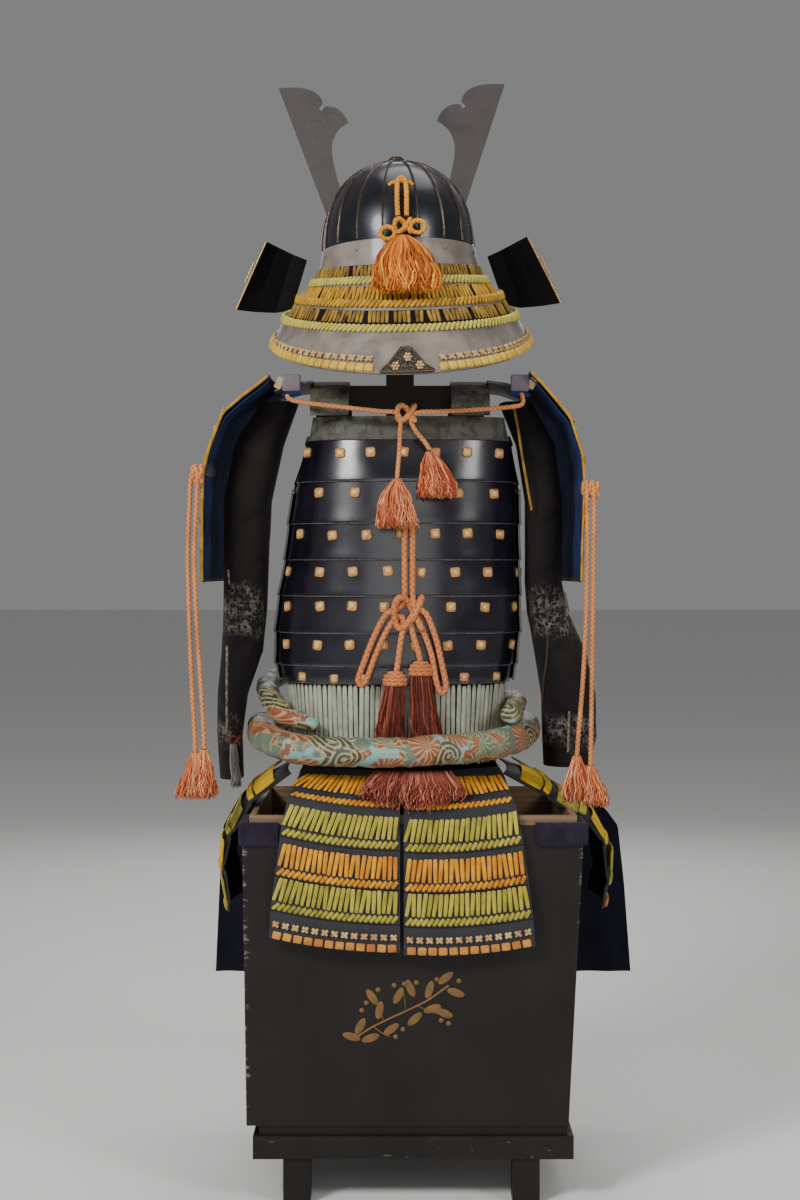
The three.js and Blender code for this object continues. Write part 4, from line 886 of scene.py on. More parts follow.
def silk_laces(name, first, second, roughness=0.62):
    """Flat braided silk: each lace a little lighter or darker, with fine slanting strands."""
    nodes = Finish(name, roughness, 0.0, sheen_weight=0.04, specular_ior_level=0.3)
    tone = nodes.add("ShaderNodeAttribute", attribute_name="tone").outputs["Fac"]
    patches = nodes.effect("Mottling", nodes.place, Scale=60.0)
    strands = nodes.effect("Plain weave", nodes.place, Threads=330.0)
    share = nodes.times(nodes.plus(tone, patches.outputs["Patch"]), 0.5)
    colour = nodes.mix(share, first, second)
    shaded = nodes.mix(1.0, colour, strands.outputs["Shade"], "MULTIPLY")
    nodes.feed("Base Color", shaded)
    nodes.bump(strands.outputs["Height"], 0.5, 0.0006)
    return nodes.material


def silk_threads(name, first, second, third):
    """Loose threads in three colours."""
    nodes = Finish(name, 0.6, 0.0, sheen_weight=0.03, specular_ior_level=0.3)
    tone = nodes.add("ShaderNodeAttribute", attribute_name="tone").outputs["Fac"]
    pair = nodes.mix(nodes.between(tone, 0.25, 0.45), first, second)
    nodes.feed("Base Color", nodes.mix(nodes.between(tone, 0.68, 0.85), pair, third))
    return nodes.material


def braided_cord(name, colour, dark, pitch=150.0):
    nodes = Finish(name, 0.62, 0.0, sheen_weight=0.03, specular_ior_level=0.3)
    flat = nodes.add("ShaderNodeUVMap").outputs[0]
    braid = nodes.effect("Braid", flat, Pitch=pitch)
    patches = nodes.effect("Mottling", nodes.place, Scale=25.0)
    base = nodes.mix(nodes.times(patches.outputs["Patch"], 0.35), colour, dark)
    shaded = nodes.mix(braid.outputs["Shade"], dark, base)
    nodes.feed("Base Color", shaded)
    nodes.bump(braid.outputs["Height"], 0.7, 0.0008)
    return nodes.material


def woven_cloth(name, colour, light, threads=420.0, patch=16.0, roughness=0.9, sheen=0.2):
    nodes = Finish(name, roughness, 0.0, sheen_weight=sheen, specular_ior_level=0.2)
    weave = nodes.effect("Plain weave", nodes.place, Threads=threads)
    patches = nodes.effect("Mottling", nodes.place, Scale=patch)
    base = nodes.mix(patches.outputs["Patch"], colour, light)
    nodes.feed("Base Color", nodes.mix(1.0, base, weave.outputs["Shade"], "MULTIPLY"))
    nodes.bump(weave.outputs["Height"], 0.45, 0.0005)
    return nodes.material


def figured_silk(name, ground, second, gold, earth):
    """The sash's brocade: a pale ground with coral patches, open flowers in cream and earth colours."""
    nodes = Finish(name, 0.42, 0.0, sheen_weight=0.05)
    flowers = nodes.effect("Round flowers", nodes.place, Scale=21.0)
    leaves = nodes.effect("Mottling", nodes.place, Scale=34.0)
    cloudy = nodes.effect("Mottling", nodes.place, Scale=9.0)
    weave = nodes.effect("Plain weave", nodes.place, Threads=380.0)
    kinds = nodes.add("ShaderNodeSeparateColor", {0: flowers.outputs["Which"]})
    disc = flowers.outputs["Disc"]
    both = nodes.times
    is_coral = both(nodes.math("GREATER_THAN", kinds.outputs[0], 0.66), disc)
    is_earth = both(nodes.math("LESS_THAN", kinds.outputs[0], 0.4), disc)
    pale = tuple(c + (1 - c) * 0.15 for c in ground)
    base = nodes.mix(cloudy.outputs["Patch"], ground, pale)
    base = nodes.mix(both(nodes.between(cloudy.outputs["Patch"], 0.53, 0.57), 0.85), base, (0.105, 0.12, 0.062))
    leaf = nodes.between(leaves.outputs["Patch"], 0.66, 0.74)
    base = nodes.mix(both(leaf, 0.92), base, second)
    base = nodes.mix(both(is_coral, 0.88), base, second)
    ringed = nodes.mix(flowers.outputs["Rings"], earth, (0.34, 0.30, 0.15))
    base = nodes.mix(both(is_earth, 0.92), base, ringed)
    lines = both(both(flowers.outputs["Petals"], disc), nodes.math("GREATER_THAN", kinds.outputs[0], 0.4))
    base = nodes.mix(both(lines, 0.6), base, gold)
    veins = nodes.between(leaves.outputs["Patch"], 0.56, 0.6)
    rim = both(nodes.minus(veins, leaf, clamp=True), 0.45)
    base = nodes.mix(rim, base, gold)
    nodes.feed("Base Color", nodes.mix(1.0, base, weave.outputs["Shade"], "MULTIPLY"))
    height = nodes.plus(both(weave.outputs["Height"], 0.6), lines)
    nodes.bump(height, 0.4, 0.0008)
    return nodes.material


def mail_cloth(name, cloth, cloth_light, mail):
    """The sleeve's dark cloth, with patches of fine mail at the height of the elbow and the hand."""
    nodes = Finish(name, 0.85, 0.0, sheen_weight=0.02, specular_ior_level=0.2)
    weave = nodes.effect("Plain weave", nodes.place, Threads=420.0)
    patches = nodes.effect("Mottling", nodes.place, Scale=12.0)
    rings = nodes.add("ShaderNodeTexVoronoi", {"Vector": nodes.place, "Scale": 190.0, "Randomness": 0.8})
    gone = nodes.effect("Worn patches", nodes.place, Scale=60.0, Amount=0.7)
    wire = nodes.minus(nodes.between(rings.outputs["Distance"], 0.32, 0.55),
                       nodes.times(gone.outputs["Mask"], 0.8), clamp=True)
    heights = nodes.add("ShaderNodeSeparateXYZ", {0: nodes.place}).outputs[2]
    edge = nodes.times(patches.outputs["Patch"], 0.02)
    where = nodes.plus(heights, edge)
    masks = [nodes.times(nodes.between(where, low - 0.006, low + 0.006),
                         nodes.between(where, high + 0.006, high - 0.006))
             for low, high in ((0.772, 0.846), (0.62, 0.655))]
    mailed = nodes.math("MAXIMUM", masks[0], masks[1])
    base = nodes.mix(patches.outputs["Patch"], cloth, cloth_light)
    base = nodes.mix(1.0, base, weave.outputs["Shade"], "MULTIPLY")
    nodes.feed("Base Color", nodes.mix(nodes.times(mailed, wire), base, mail))
    height = nodes.plus(nodes.times(weave.outputs["Height"], 0.4), nodes.times(mailed, wire))
    nodes.bump(height, 0.7, 0.001)
    return nodes.material


def printed_leather(name, ground, print_colour, worn):
    """Doeskin with a small overall print, rubbed and darkened."""
    nodes = Finish(name, 0.65)
    cells = nodes.add("ShaderNodeTexVoronoi", {"Vector": nodes.place, "Scale": 95.0, "Randomness": 0.55})
    spots = nodes.between(cells.outputs["Distance"], 0.3, 0.22)
    patches = nodes.effect("Mottling", nodes.place, Scale=30.0)
    wear = nodes.effect("Worn patches", nodes.place, Scale=55.0, Amount=0.75)
    base = nodes.mix(nodes.times(spots, 0.6), ground, print_colour)
    base = nodes.mix(patches.outputs["Patch"], base, tuple(c * 0.45 for c in ground))
    nodes.feed("Base Color", nodes.mix(nodes.times(wear.outputs["Mask"], 0.5), base, worn))
    nodes.bump(patches.outputs["Grain"], 0.5, 0.0008)
    return nodes.material


def chest_lacquer(name, colour, worn_colour):
    """Old lacquer on wood: it has gone along the upright edges, the ledge and in small chips."""
    nodes = Finish(name, 0.5, 0.0, specular_ior_level=0.22)
    parts = nodes.add("ShaderNodeSeparateXYZ", {0: nodes.place})
    low, high = CHEST_LOW, CHEST_HIGH
    reach_x = nodes.math("ABSOLUTE", nodes.minus(parts.outputs[0], (low[0] + high[0]) / 2))
    reach_y = nodes.math("ABSOLUTE", nodes.minus(parts.outputs[1], (low[1] + high[1]) / 2))
    side = nodes.times(nodes.between(reach_x, (high[0] - low[0]) / 2 - 0.02, (high[0] - low[0]) / 2),
                       nodes.between(reach_y, (high[1] - low[1]) / 2 - 0.04, (high[1] - low[1]) / 2 - 0.018))
    ledge = nodes.times(nodes.between(parts.outputs[2], 0.055, 0.062),
                        nodes.between(parts.outputs[2], 0.098, 0.088))
    edge = nodes.math("MAXIMUM", nodes.times(side, 0.68), nodes.times(ledge, 0.3))
    stretched = nodes.add("ShaderNodeMapping", {"Vector": nodes.place, "Scale": (1.0, 1.0, 2.6)}).outputs[0]
    wear = nodes.effect("Worn patches", stretched, Scale=46.0, Amount=nodes.plus(nodes.times(edge, 0.95), 0.06))
    patches = nodes.effect("Mottling", nodes.place, Scale=7.0)
    base = nodes.mix(patches.outputs["Patch"], colour, tuple(c * 1.5 for c in colour))
    nodes.feed("Base Color", nodes.mix(nodes.times(wear.outputs["Mask"], 0.8), base, worn_colour))
    nodes.feed("Roughness", nodes.between(patches.outputs["Grain"], 0.3, 0.7, 0.34, 0.55))
    nodes.bump(nodes.minus(patches.outputs["Grain"], wear.outputs["Mask"]), 0.25, 0.0006)
    return nodes.material


def bare_wood(name, light, dark):
    nodes = Finish(name, 0.6)
    drawn = nodes.add("ShaderNodeMapping", {"Vector": nodes.place, "Scale": (2.0, 12.0, 12.0)}).outputs[0]
    rings = nodes.add("ShaderNodeTexWave", {
        "Vector": drawn, "Scale": 3.0, "Distortion": 6.0, "Detail": 3.0}, wave_type="BANDS", bands_direction="Z")
    patches = nodes.effect("Mottling", drawn, Scale=5.0)
    base = nodes.mix(nodes.times(rings.outputs["Fac"], 0.6), light, dark)
    nodes.feed("Base Color", nodes.mix(nodes.times(patches.outputs["Grain"], 0.4), base, dark))
    nodes.bump(rings.outputs["Fac"], 0.2, 0.0005)
    return nodes.material


def floor_finish(name, colour):
    nodes = Finish(name, 0.7)
    patches = nodes.effect("Mottling", nodes.place, Scale=1.5)
    nodes.feed("Base Color", nodes.mix(patches.outputs["Patch"], colour, tuple(c * 0.96 for c in colour)))
    return nodes.material


FINISHES = {}


def make_finishes(colours):
    EFFECTS.update({
        "Mottling": mottling_group(), "Plain weave": weave_group(), "Worn patches": worn_group(),
        "Braid": braid_group(), "Round flowers": flower_group(),
    })
    FINISHES.update({
        "bowl": lacquer("Bowl iron", (0.016, 0.017, 0.024), (0.05, 0.05, 0.058), 0.28, 0.15, 0.5, 18.0, 0.1),
        "rib": lacquer("Rib gilding", (0.055, 0.032, 0.016), (0.014, 0.01, 0.009), 0.42, 0.6, 0.6, 90.0),
        "taupe": lacquer("Taupe lacquer", (0.235, 0.195, 0.165), (0.32, 0.28, 0.24), 0.5, 0.3, 0.05, 24.0),
        "horn": lacquer("Horn sheet", (0.062, 0.052, 0.047), (0.10, 0.09, 0.085), 0.55, 0.4, 0.3, 22.0),
        "lacquer": lacquer("Black lacquer", tuple(colours.lacquer), (0.022, 0.019, 0.024), 0.24, 0.16, 0.0, 12.0),
        "turn back": lacquer("Turn-back leather", (0.007, 0.006, 0.007), (0.016, 0.014, 0.014), 0.75, 0.2, 0.0, 20.0,
                             0.1, 0.0, 0.06),
        "gilt": lacquer("Gilt edge", (0.50, 0.30, 0.09), (0.07, 0.045, 0.02), 0.38, 0.3, 0.8, 60.0),
        "stud": lacquer("Stud gilding", (0.68, 0.37, 0.12), (0.30, 0.14, 0.045), 0.45, 0.5, 0.2, 120.0, 0.5),
        "stud middle": lacquer("Stud middle", (0.78, 0.50, 0.22), (0.42, 0.22, 0.08), 0.5, 0.45, 0.1, 150.0, 0.6),
        # painted highlight: the light colour of the lame edge lines stands for light caught along each lame's lower
        # edge
        "lame highlight": lacquer("Painted lame edge highlight", (0.10, 0.085, 0.075), (0.02, 0.018, 0.018), 0.45, 0.6, 0.1, 90.0),
        # painted shade: a near-black sheet colour for the shade in the gaps between laces
        "shade sheet": lacquer("Painted shade backing", (0.012, 0.01, 0.009), (0.025, 0.02, 0.017), 0.8, 0.3, 0.0, 60.0, 0.1,
                           0.0, 0.1),
        "lame": lacquer("Lame lacquer", (0.030, 0.029, 0.034), (0.07, 0.064, 0.06), 0.6, 0.35, 0.0, 30.0, 0.15,
                        0.0, 0.25),
        "fitting": lacquer("Chased metal", (0.03, 0.026, 0.024), (0.12, 0.095, 0.06), 0.5, 0.6, 0.6, 120.0, 0.6),
        "rosette": lacquer("Rosette metal", (0.13, 0.09, 0.055), (0.04, 0.03, 0.025), 0.45, 0.4, 0.7, 90.0, 0.4),
        "leather": printed_leather("Printed leather", (0.034, 0.032, 0.02), (0.085, 0.08, 0.05),
                                   (0.10, 0.094, 0.066)),
        "gold laces": silk_laces("Gold laces", tuple(colours.gold_lace), (0.74, 0.41, 0.02)),
        "orange laces": silk_laces("Orange laces", tuple(colours.orange_lace), (0.86, 0.39, 0.006)),
        "green laces": silk_laces("Yellow-green laces", (0.23, 0.20, 0.013), (0.54, 0.45, 0.05)),
        "pale plait": silk_laces("Pale yellow plait", (0.42, 0.35, 0.035), (0.68, 0.58, 0.12)),
        "yellow laces": silk_laces("Bright yellow laces", (0.58, 0.32, 0.002), (0.78, 0.53, 0.01)),
        "worn laces": silk_laces("Worn laces", (0.035, 0.017, 0.005), (0.50, 0.29, 0.03)),
        "pale laces": silk_laces("Pale waist laces", (0.30, 0.33, 0.25), (0.52, 0.54, 0.42)),
        "knots": silk_laces("Pink and cream knots", (0.36, 0.11, 0.055), (0.66, 0.54, 0.2)),
        "pillows": silk_laces("Gold knots", (0.38, 0.10, 0.022), (0.68, 0.34, 0.05)),
        "neck pillows": silk_laces("Yellow knots", (0.50, 0.28, 0.02), (0.78, 0.56, 0.09)),
        "cream laces": silk_laces("Cream guard laces", (0.46, 0.34, 0.16), (0.66, 0.56, 0.36)),
        "lilac": silk_laces("Lilac cloth", (0.15, 0.12, 0.15), (0.26, 0.21, 0.24)),
        "peach cord": braided_cord("Peach cord", tuple(colours.cord), (0.20, 0.045, 0.012)),
        "bow cord": braided_cord("Bow cord", (0.64, 0.22, 0.07), (0.18, 0.042, 0.016), 120.0),
        "orange cord": braided_cord("Orange cord", (0.74, 0.31, 0.015), (0.26, 0.07, 0.004), 150.0),
        "brown cord": braided_cord("Brown cord", (0.07, 0.028, 0.016), (0.02, 0.009, 0.006), 300.0),
        "peach threads": silk_threads("Peach threads", (0.64, 0.19, 0.06), (0.34, 0.045, 0.016), (0.78, 0.42, 0.21)),
        "orange threads": silk_threads("Orange threads", (0.64, 0.17, 0.006), (0.30, 0.055, 0.003),
                                       (0.80, 0.38, 0.03)),
        "brick threads": silk_threads("Brick threads", (0.17, 0.026, 0.012), (0.075, 0.012, 0.007),
                                       (0.36, 0.085, 0.04)),
        "fringe threads": silk_threads("Fringe threads", (0.33, 0.065, 0.036), (0.14, 0.022, 0.014),
                                       (0.52, 0.19, 0.11)),
        "grey threads": silk_threads("Grey threads", (0.16, 0.15, 0.14), (0.08, 0.07, 0.065), (0.26, 0.24, 0.22)),
        "sash": figured_silk("Figured silk", tuple(colours.sash), (0.25, 0.05, 0.012), (0.50, 0.41, 0.18),
                             (0.038, 0.033, 0.011)),
        "sleeve": mail_cloth("Sleeve cloth", (0.0065, 0.005, 0.0058), (0.014, 0.0095, 0.0085), (0.10, 0.092, 0.075)),
        "lining": woven_cloth("Indigo lining", (0.007, 0.014, 0.06), (0.018, 0.036, 0.135), 420.0, 22.0, 0.95, 0.0),
        "apron": woven_cloth("Apron hemp", (0.004, 0.0038, 0.011), (0.009, 0.008, 0.02), 300.0, 10.0, 0.95, 0.02),
        "rim": woven_cloth("Ribbed rim cloth", (0.008, 0.006, 0.013), (0.022, 0.015, 0.032), 260.0, 30.0, 0.9, 0.05),
        "tape": woven_cloth("Tie tape", (0.14, 0.125, 0.11), (0.22, 0.2, 0.17), 500.0, 60.0),
        "splint": lacquer("Splint metal", (0.26, 0.21, 0.135), (0.05, 0.04, 0.03), 0.5, 0.65, 0.3, 110.0, 0.4),
        "brass": lacquer("Aged brass", (0.30, 0.17, 0.05), (0.07, 0.045, 0.02), 0.38, 0.35, 0.8, 120.0),
        "crest": lacquer("Faded gold lacquer", (0.19, 0.095, 0.02), (0.03, 0.018, 0.01), 0.6, 0.3, 0.1, 60.0,
                         0.3, 0.0),
        "chest": chest_lacquer("Chest lacquer", tuple(colours.chest), (0.17, 0.145, 0.12)),
        "wood": bare_wood("Bare wood", (0.25, 0.145, 0.07), (0.12, 0.062, 0.028)),
        "dark wood": bare_wood("Dark stand wood", (0.035, 0.02, 0.012), (0.014, 0.009, 0.006)),
        "floor": floor_finish("Pale floor", (0.78, 0.77, 0.75)),
    })


# ---------------------------------------------------------------- settings that a user changes

def colour(name, description, default):
    return bpy.props.FloatVectorProperty(
        name=name, description=description, default=default, subtype="COLOR", size=3, min=0.0, max=1.0)


def small_length(name, description, default, low, high):
    return bpy.props.FloatProperty(name=name, description=description, default=default, min=low, max=high,
                                   unit="LENGTH", subtype="DISTANCE")


class ArmourColours(bpy.types.PropertyGroup):
    """Main colours of the armour."""

    lacquer: colour("Lacquer", "Black lacquer of the cuirass", (0.0065, 0.0055, 0.011))
    chest: colour("Chest", "Lacquer of the armour chest", (0.0075, 0.0058, 0.005))
    sash: colour("Sash", "Ground of the figured sash", (0.12, 0.35, 0.33))
    cord: colour("Cords", "Side and back cords", (0.70, 0.275, 0.09))
    gold_lace: colour("Gold laces", "Darker of the gold laces", (0.30, 0.13, 0.004))
    orange_lace: colour("Orange laces", "Darker of the orange laces", (0.44, 0.13, 0.002))


class ArmourSizes(bpy.types.PropertyGroup):
    """Sizes of the laces, knots and studs."""

    lace_pitch: small_length("Lace pitch", "Distance between two hanging laces", 0.0076, 0.004, 0.02)
    plait_pitch: small_length("Plait pitch", "Distance between two turns of a plait", 0.0074, 0.003, 0.02)
    stud_width: small_length("Stud width", "Width of a gilt stud on the cuirass", 0.0138, 0.006, 0.03)
    rib_height: small_length("Rib height", "How far a rib of the bowl stands up", 0.0026, 0.001, 0.006)


# ---------------------------------------------------------------- rows of lacing

class Lacing:
    """Rows of small shapes on surface(a, b, out), where a runs along a row and b is its height."""

    def __init__(self, surface, a_range, steps_ab, slot):
        self.surface, self.a_range, self.steps_ab, self.slot = surface, a_range, steps_ab, slot

    def lay(self, name, shape, count, at, finish, salt, placed):
        """placed(i) lists the (proud, turn, size) of each copy at place i."""
        low, high = self.a_range
        places = [place_on(self.surface, low + (high - low) * (i + 0.5) / count, at, proud, *self.steps_ab,
                           turn=turn, size=size)
                  for i in range(count) for proud, turn, size in placed(i)]
        return dress(many(name, shape, places, salt), finish, self.slot)

    def laces(self, name, at, tall, length, pitch, finish, proud=1.2, width=6.4, thick=2.6, lean=0.06, bias=0.0,
              gone=0.0, salt=0.0):
        """Laces side by side: `at` is their middle, `tall` their height and `gone` the share that is lost."""
        def placed(i):
            if chance(i, salt + 8) < gone:
                return []
            turn = bias + (chance(i, salt + 1) - 0.5) * 2 * lean
            size = (1, 1, tall * (0.96 + 0.08 * chance(i, salt + 2)))
            return [(proud + 0.4 * chance(i, salt + 3), turn, size)]

        return self.lay(name, lace_shape(width, thick, 1.0), max(2, round(length / pitch)), at, finish, salt, placed)

    def plait(self, name, at, length, pitch, finish, proud=1.6, size=(5.7, 5.2, 11.8), salt=0.0):
        """A plait along an edge: slanting turns, each over the next."""
        return self.lay(name, lace_shape(*size), max(2, round(length / pitch)), at, finish, salt,
                        lambda i: [(proud, 0.7 + 0.1 * (chance(i, salt) - 0.5), (1, 1, 1))])

    def knots(self, name, at, count, proud, reach, salt=0.0):
        """Cross-shaped knots, two short laces to each."""
        return self.lay(name, lace_shape(4.6, 4.0, reach), count, at, "knots", salt,
                        lambda i: [(proud, 0.85, (1, 1, 1)), (proud + 0.9, -0.85, (1, 1, 1))])

    def pillows(self, name, at, count, size, proud, finish="pillows", salt=0.0):
        return self.lay(name, small_block(size, min(size) * 0.42, segments=3), count, at, finish, salt,
                        lambda i: [(proud, 0.12 * (chance(i, salt) - 0.5), (1, 1, 1))])


# ---------------------------------------------------------------- cords

def make_cord(name, points, diameter, finish, slot, replaced):
    line = smooth_path(points, 5.0)
    obj = tube_object(name, line, diameter / 2, sides=12)
    dress(obj, finish, slot, replaced)
    path = [to_frame(p) for p in line]
    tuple(path[0])
    return obj


def bound_neck(name, row, reach, finish, slot, turns=4, wire=1.5):
    """The binding round a tassel's neck: a short rounded knob of wound cord."""
    line = []
    for i in range(turns * 14 + 1):
        angle = TURN * i / 14
        share = i / (turns * 14)
        swell = 0.78 + 0.22 * math.sin(math.pi * share)
        line.append(Vector((row["x"] + math.cos(angle) * reach * swell,
                            row["y"] + math.sin(angle) * reach * 0.8 * swell,
                            row["z"] - share * turns * wire * 1.5)))
    return dress(tube_object(name, line, wire, sides=6), finish, slot)


def woven_knot(name, centre, half_x, half_z, radius, finish, slot, lift=2.6, helmet=False):
    """A flat interlaced knot: one cord that passes over and under itself in a closed figure."""
    line = []
    count = 150
    for i in range(count + 1):
        t = TURN * i / count
        p = (centre[0] + half_x * math.sin(2 * t + 0.6), centre[1] - lift * math.cos(5 * t),
             centre[2] + half_z * math.sin(3 * t))
        line.append(Vector(from_helmet(p) if helmet else p))
    return dress(tube_object(name, line, radius, sides=8), finish, slot)


class ARMOUR_OT_cords(bpy.types.Operator):
    """Adds the free cords with their knots and tassels"""

    bl_idname = "armour.cords"
    bl_label = "Cords and tassels"

    def execute(self, context):
        for side, seeds in (("left", (11, 12)), ("right", (13, 14))):
            for n, seed in zip((1, 2), seeds):
                key = f"side_cord_{side}_{n}"
                rows = TASSELS[f"side_tassel_{side}_{n}"]
                tassel = threads_object(f"side_tassel_{side}_{n}", rows, 150, seed, thick=1.0, wave=3.0)
                dress(tassel, "peach threads", "peach_cord", [f"side_tassels_{side}"])
                neck = bound_neck(f"side_tassel_{side}_{n}_neck", rows[0], 6.0, "peach cord", "peach_cord")
                points = SIDE_CORDS[key]
                x, y, z = points[0]
                knot = woven_knot(f"{key}_knot", (x + 1, y + 2, z - 8), 6, 9, 3.0, "peach cord", "peach_cord")
                make_cord(key, points, CORD["side"], "peach cord", "peach_cord", [key])
        knot = woven_knot("back_knot_cord", (BACK_KNOT["x"], BACK_KNOT["y"], BACK_KNOT["z"] + 1), 12, 10.5, 3.6,
                          "peach cord", "peach_cord")
        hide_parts("back_knot")
        for side, seed in (("left", 21), ("right", 22)):
            key = f"back_cord_{side}"
            rows = TASSELS[f"back_tassel_{side}"]
            tassel = threads_object(f"back_tassel_{side}_threads", rows, 210, seed, thick=1.0, wave=3.4)
            dress(tassel, "peach threads", "peach_cord", [f"back_tassel_{side}"])
            neck = bound_neck(f"back_tassel_{side}_neck", rows[0], 6.0, "peach cord", "peach_cord")
            make_cord(key, BACK_CORDS[key], CORD["back"], "peach cord", "peach_cord", [key])
        self.bow()
        self.helmet()
        return {"FINISHED"}

    def bow(self):
        centre = (BOW_KNOT["x"] + 1, BOW_KNOT["y"], BOW_KNOT["z"])
        knot = woven_knot("bow_knot", centre, BOW_KNOT["half_x"] + 2, BOW_KNOT["half_z"] + 2, CORD["bow"] / 2 + 0.5,
                          "bow cord", "peach_cord", lift=5.2)
        self.fringe()
        for side, seed in (("left", 31), ("right", 32)):
            rows = TASSELS[f"bow_tassel_{side}"]
            tassel = threads_object(f"bow_tassel_{side}_threads", rows, 230, seed, thick=0.95, wave=3.0)
            dress(tassel, "brick threads", "brick_silk", [f"bow_tassel_{side}"])
            top = rows[0]
            cap = self.cap(f"bow_tassel_{side}_cap", top["x"], top["y"], top["z"] + 6)
            make_cord(f"bow_cord_{side}", BOW_CORDS[f"bow_cord_{side}"], CORD["bow"], "bow cord", "peach_cord",
                      ["bow_strands", "bow"])

    def cap(self, name, x, y, z):
        """The wound cap over a tassel's neck, wide and rounded."""
        parts = []
        for ring, (radius, height) in enumerate(((8, 11), (12.5, 7), (14.5, 2), (14.0, -3))):
            line = [Vector((x + math.cos(TURN * i / 28) * radius, y + math.sin(TURN * i / 28) * radius * 0.72,
                            z + height))
                    for i in range(29)]
            parts.append(tube_object(f"{name}_{ring}", line, 3.4, sides=8))
        return dress(join(name, parts), "bow cord", "peach_cord")

    def fringe(self):
        """The frayed ends that show below the sash, curling every way."""
        rng = np.random.default_rng(41)
        threads = Threads()
        count, stations = 560, 11
        for _ in range(count):
            share = rng.uniform(0, 1)
            depth = rng.uniform(-0.8, 0.8)
            tone, phase, curl = rng.uniform(0, 1), rng.uniform(0, TURN), rng.uniform(3.0, 7.5)
            end = rng.uniform(0.45, 1.0) * (0.72 + 0.28 * math.sin(math.pi * share))
            for s in range(stations):
                t = s / (stations - 1) * end
                z = FRINGE[0]["z"] + (FRINGE[-1]["z"] - FRINGE[0]["z"]) * t
                row = row_at(FRINGE, z)
                x = row["left"] + (row["right"] - row["left"]) * share + curl * t * math.sin(phase + 9 * t)
                y = row["y"] + row["half"] * depth + 0.6 * curl * t * math.cos(phase + 8 * t)
                z += 0.7 * curl * t * math.cos(phase * 1.3 + 9 * t)
                threads.station((x, y, z), 0.9, phase, tone)
            threads.close(stations)
        return dress(threads.finish("bow_fringe_threads"), "fringe threads", "brick_silk", ["bow_fringe"])

    def helmet(self):
        centre = (HELMET_KNOT["x"], HELMET_KNOT["y"], HELMET_KNOT["z"] + 6)
        knot = woven_knot("helmet_knot", centre, 11, 9, 3.3, "orange cord", "orange_cord", helmet=True)
        loops = []
        for side, height in ((-1, 4), (1, 12)):
            line = []
            for i in range(41):
                t = TURN * i / 40
                line.append(Vector(from_helmet((
                    HELMET_KNOT["x"] + side * (21 + 10 * math.cos(t)), HELMET_KNOT["y"] - 1,
                    height + 8.5 * math.sin(t)))))
            loops.append(tube_object(f"helmet_loop_{height}", line, 3.2, sides=8))
        side_loops = dress(join("helmet_side_loops", loops), "orange cord", "orange_cord")
        tassel = threads_object("helmet_tassel_threads", HELMET_TASSEL, 330, 51, thick=1.6, wave=4.2, helmet=True)
        dress(tassel, "orange threads", "orange_cord", ["helmet_tassel"])
        route = [from_helmet(p) for p in HELMET_CORD]
        make_cord("helmet_cord_strands", route, CORD["helmet"], "orange cord", "orange_cord", ["helmet_cord"])
        curl = [from_helmet((-15 + 3.4 * i, -104.5 + 0.5 * abs(i - 5), 82 - 0.22 * (i - 5) ** 2)) for i in range(11)]
        bar = tube_object("helmet_cord_curl", smooth_path(curl, 4), 3.3, sides=10)
        dress(bar, "orange cord", "orange_cord")


# ---------------------------------------------------------------- helmet

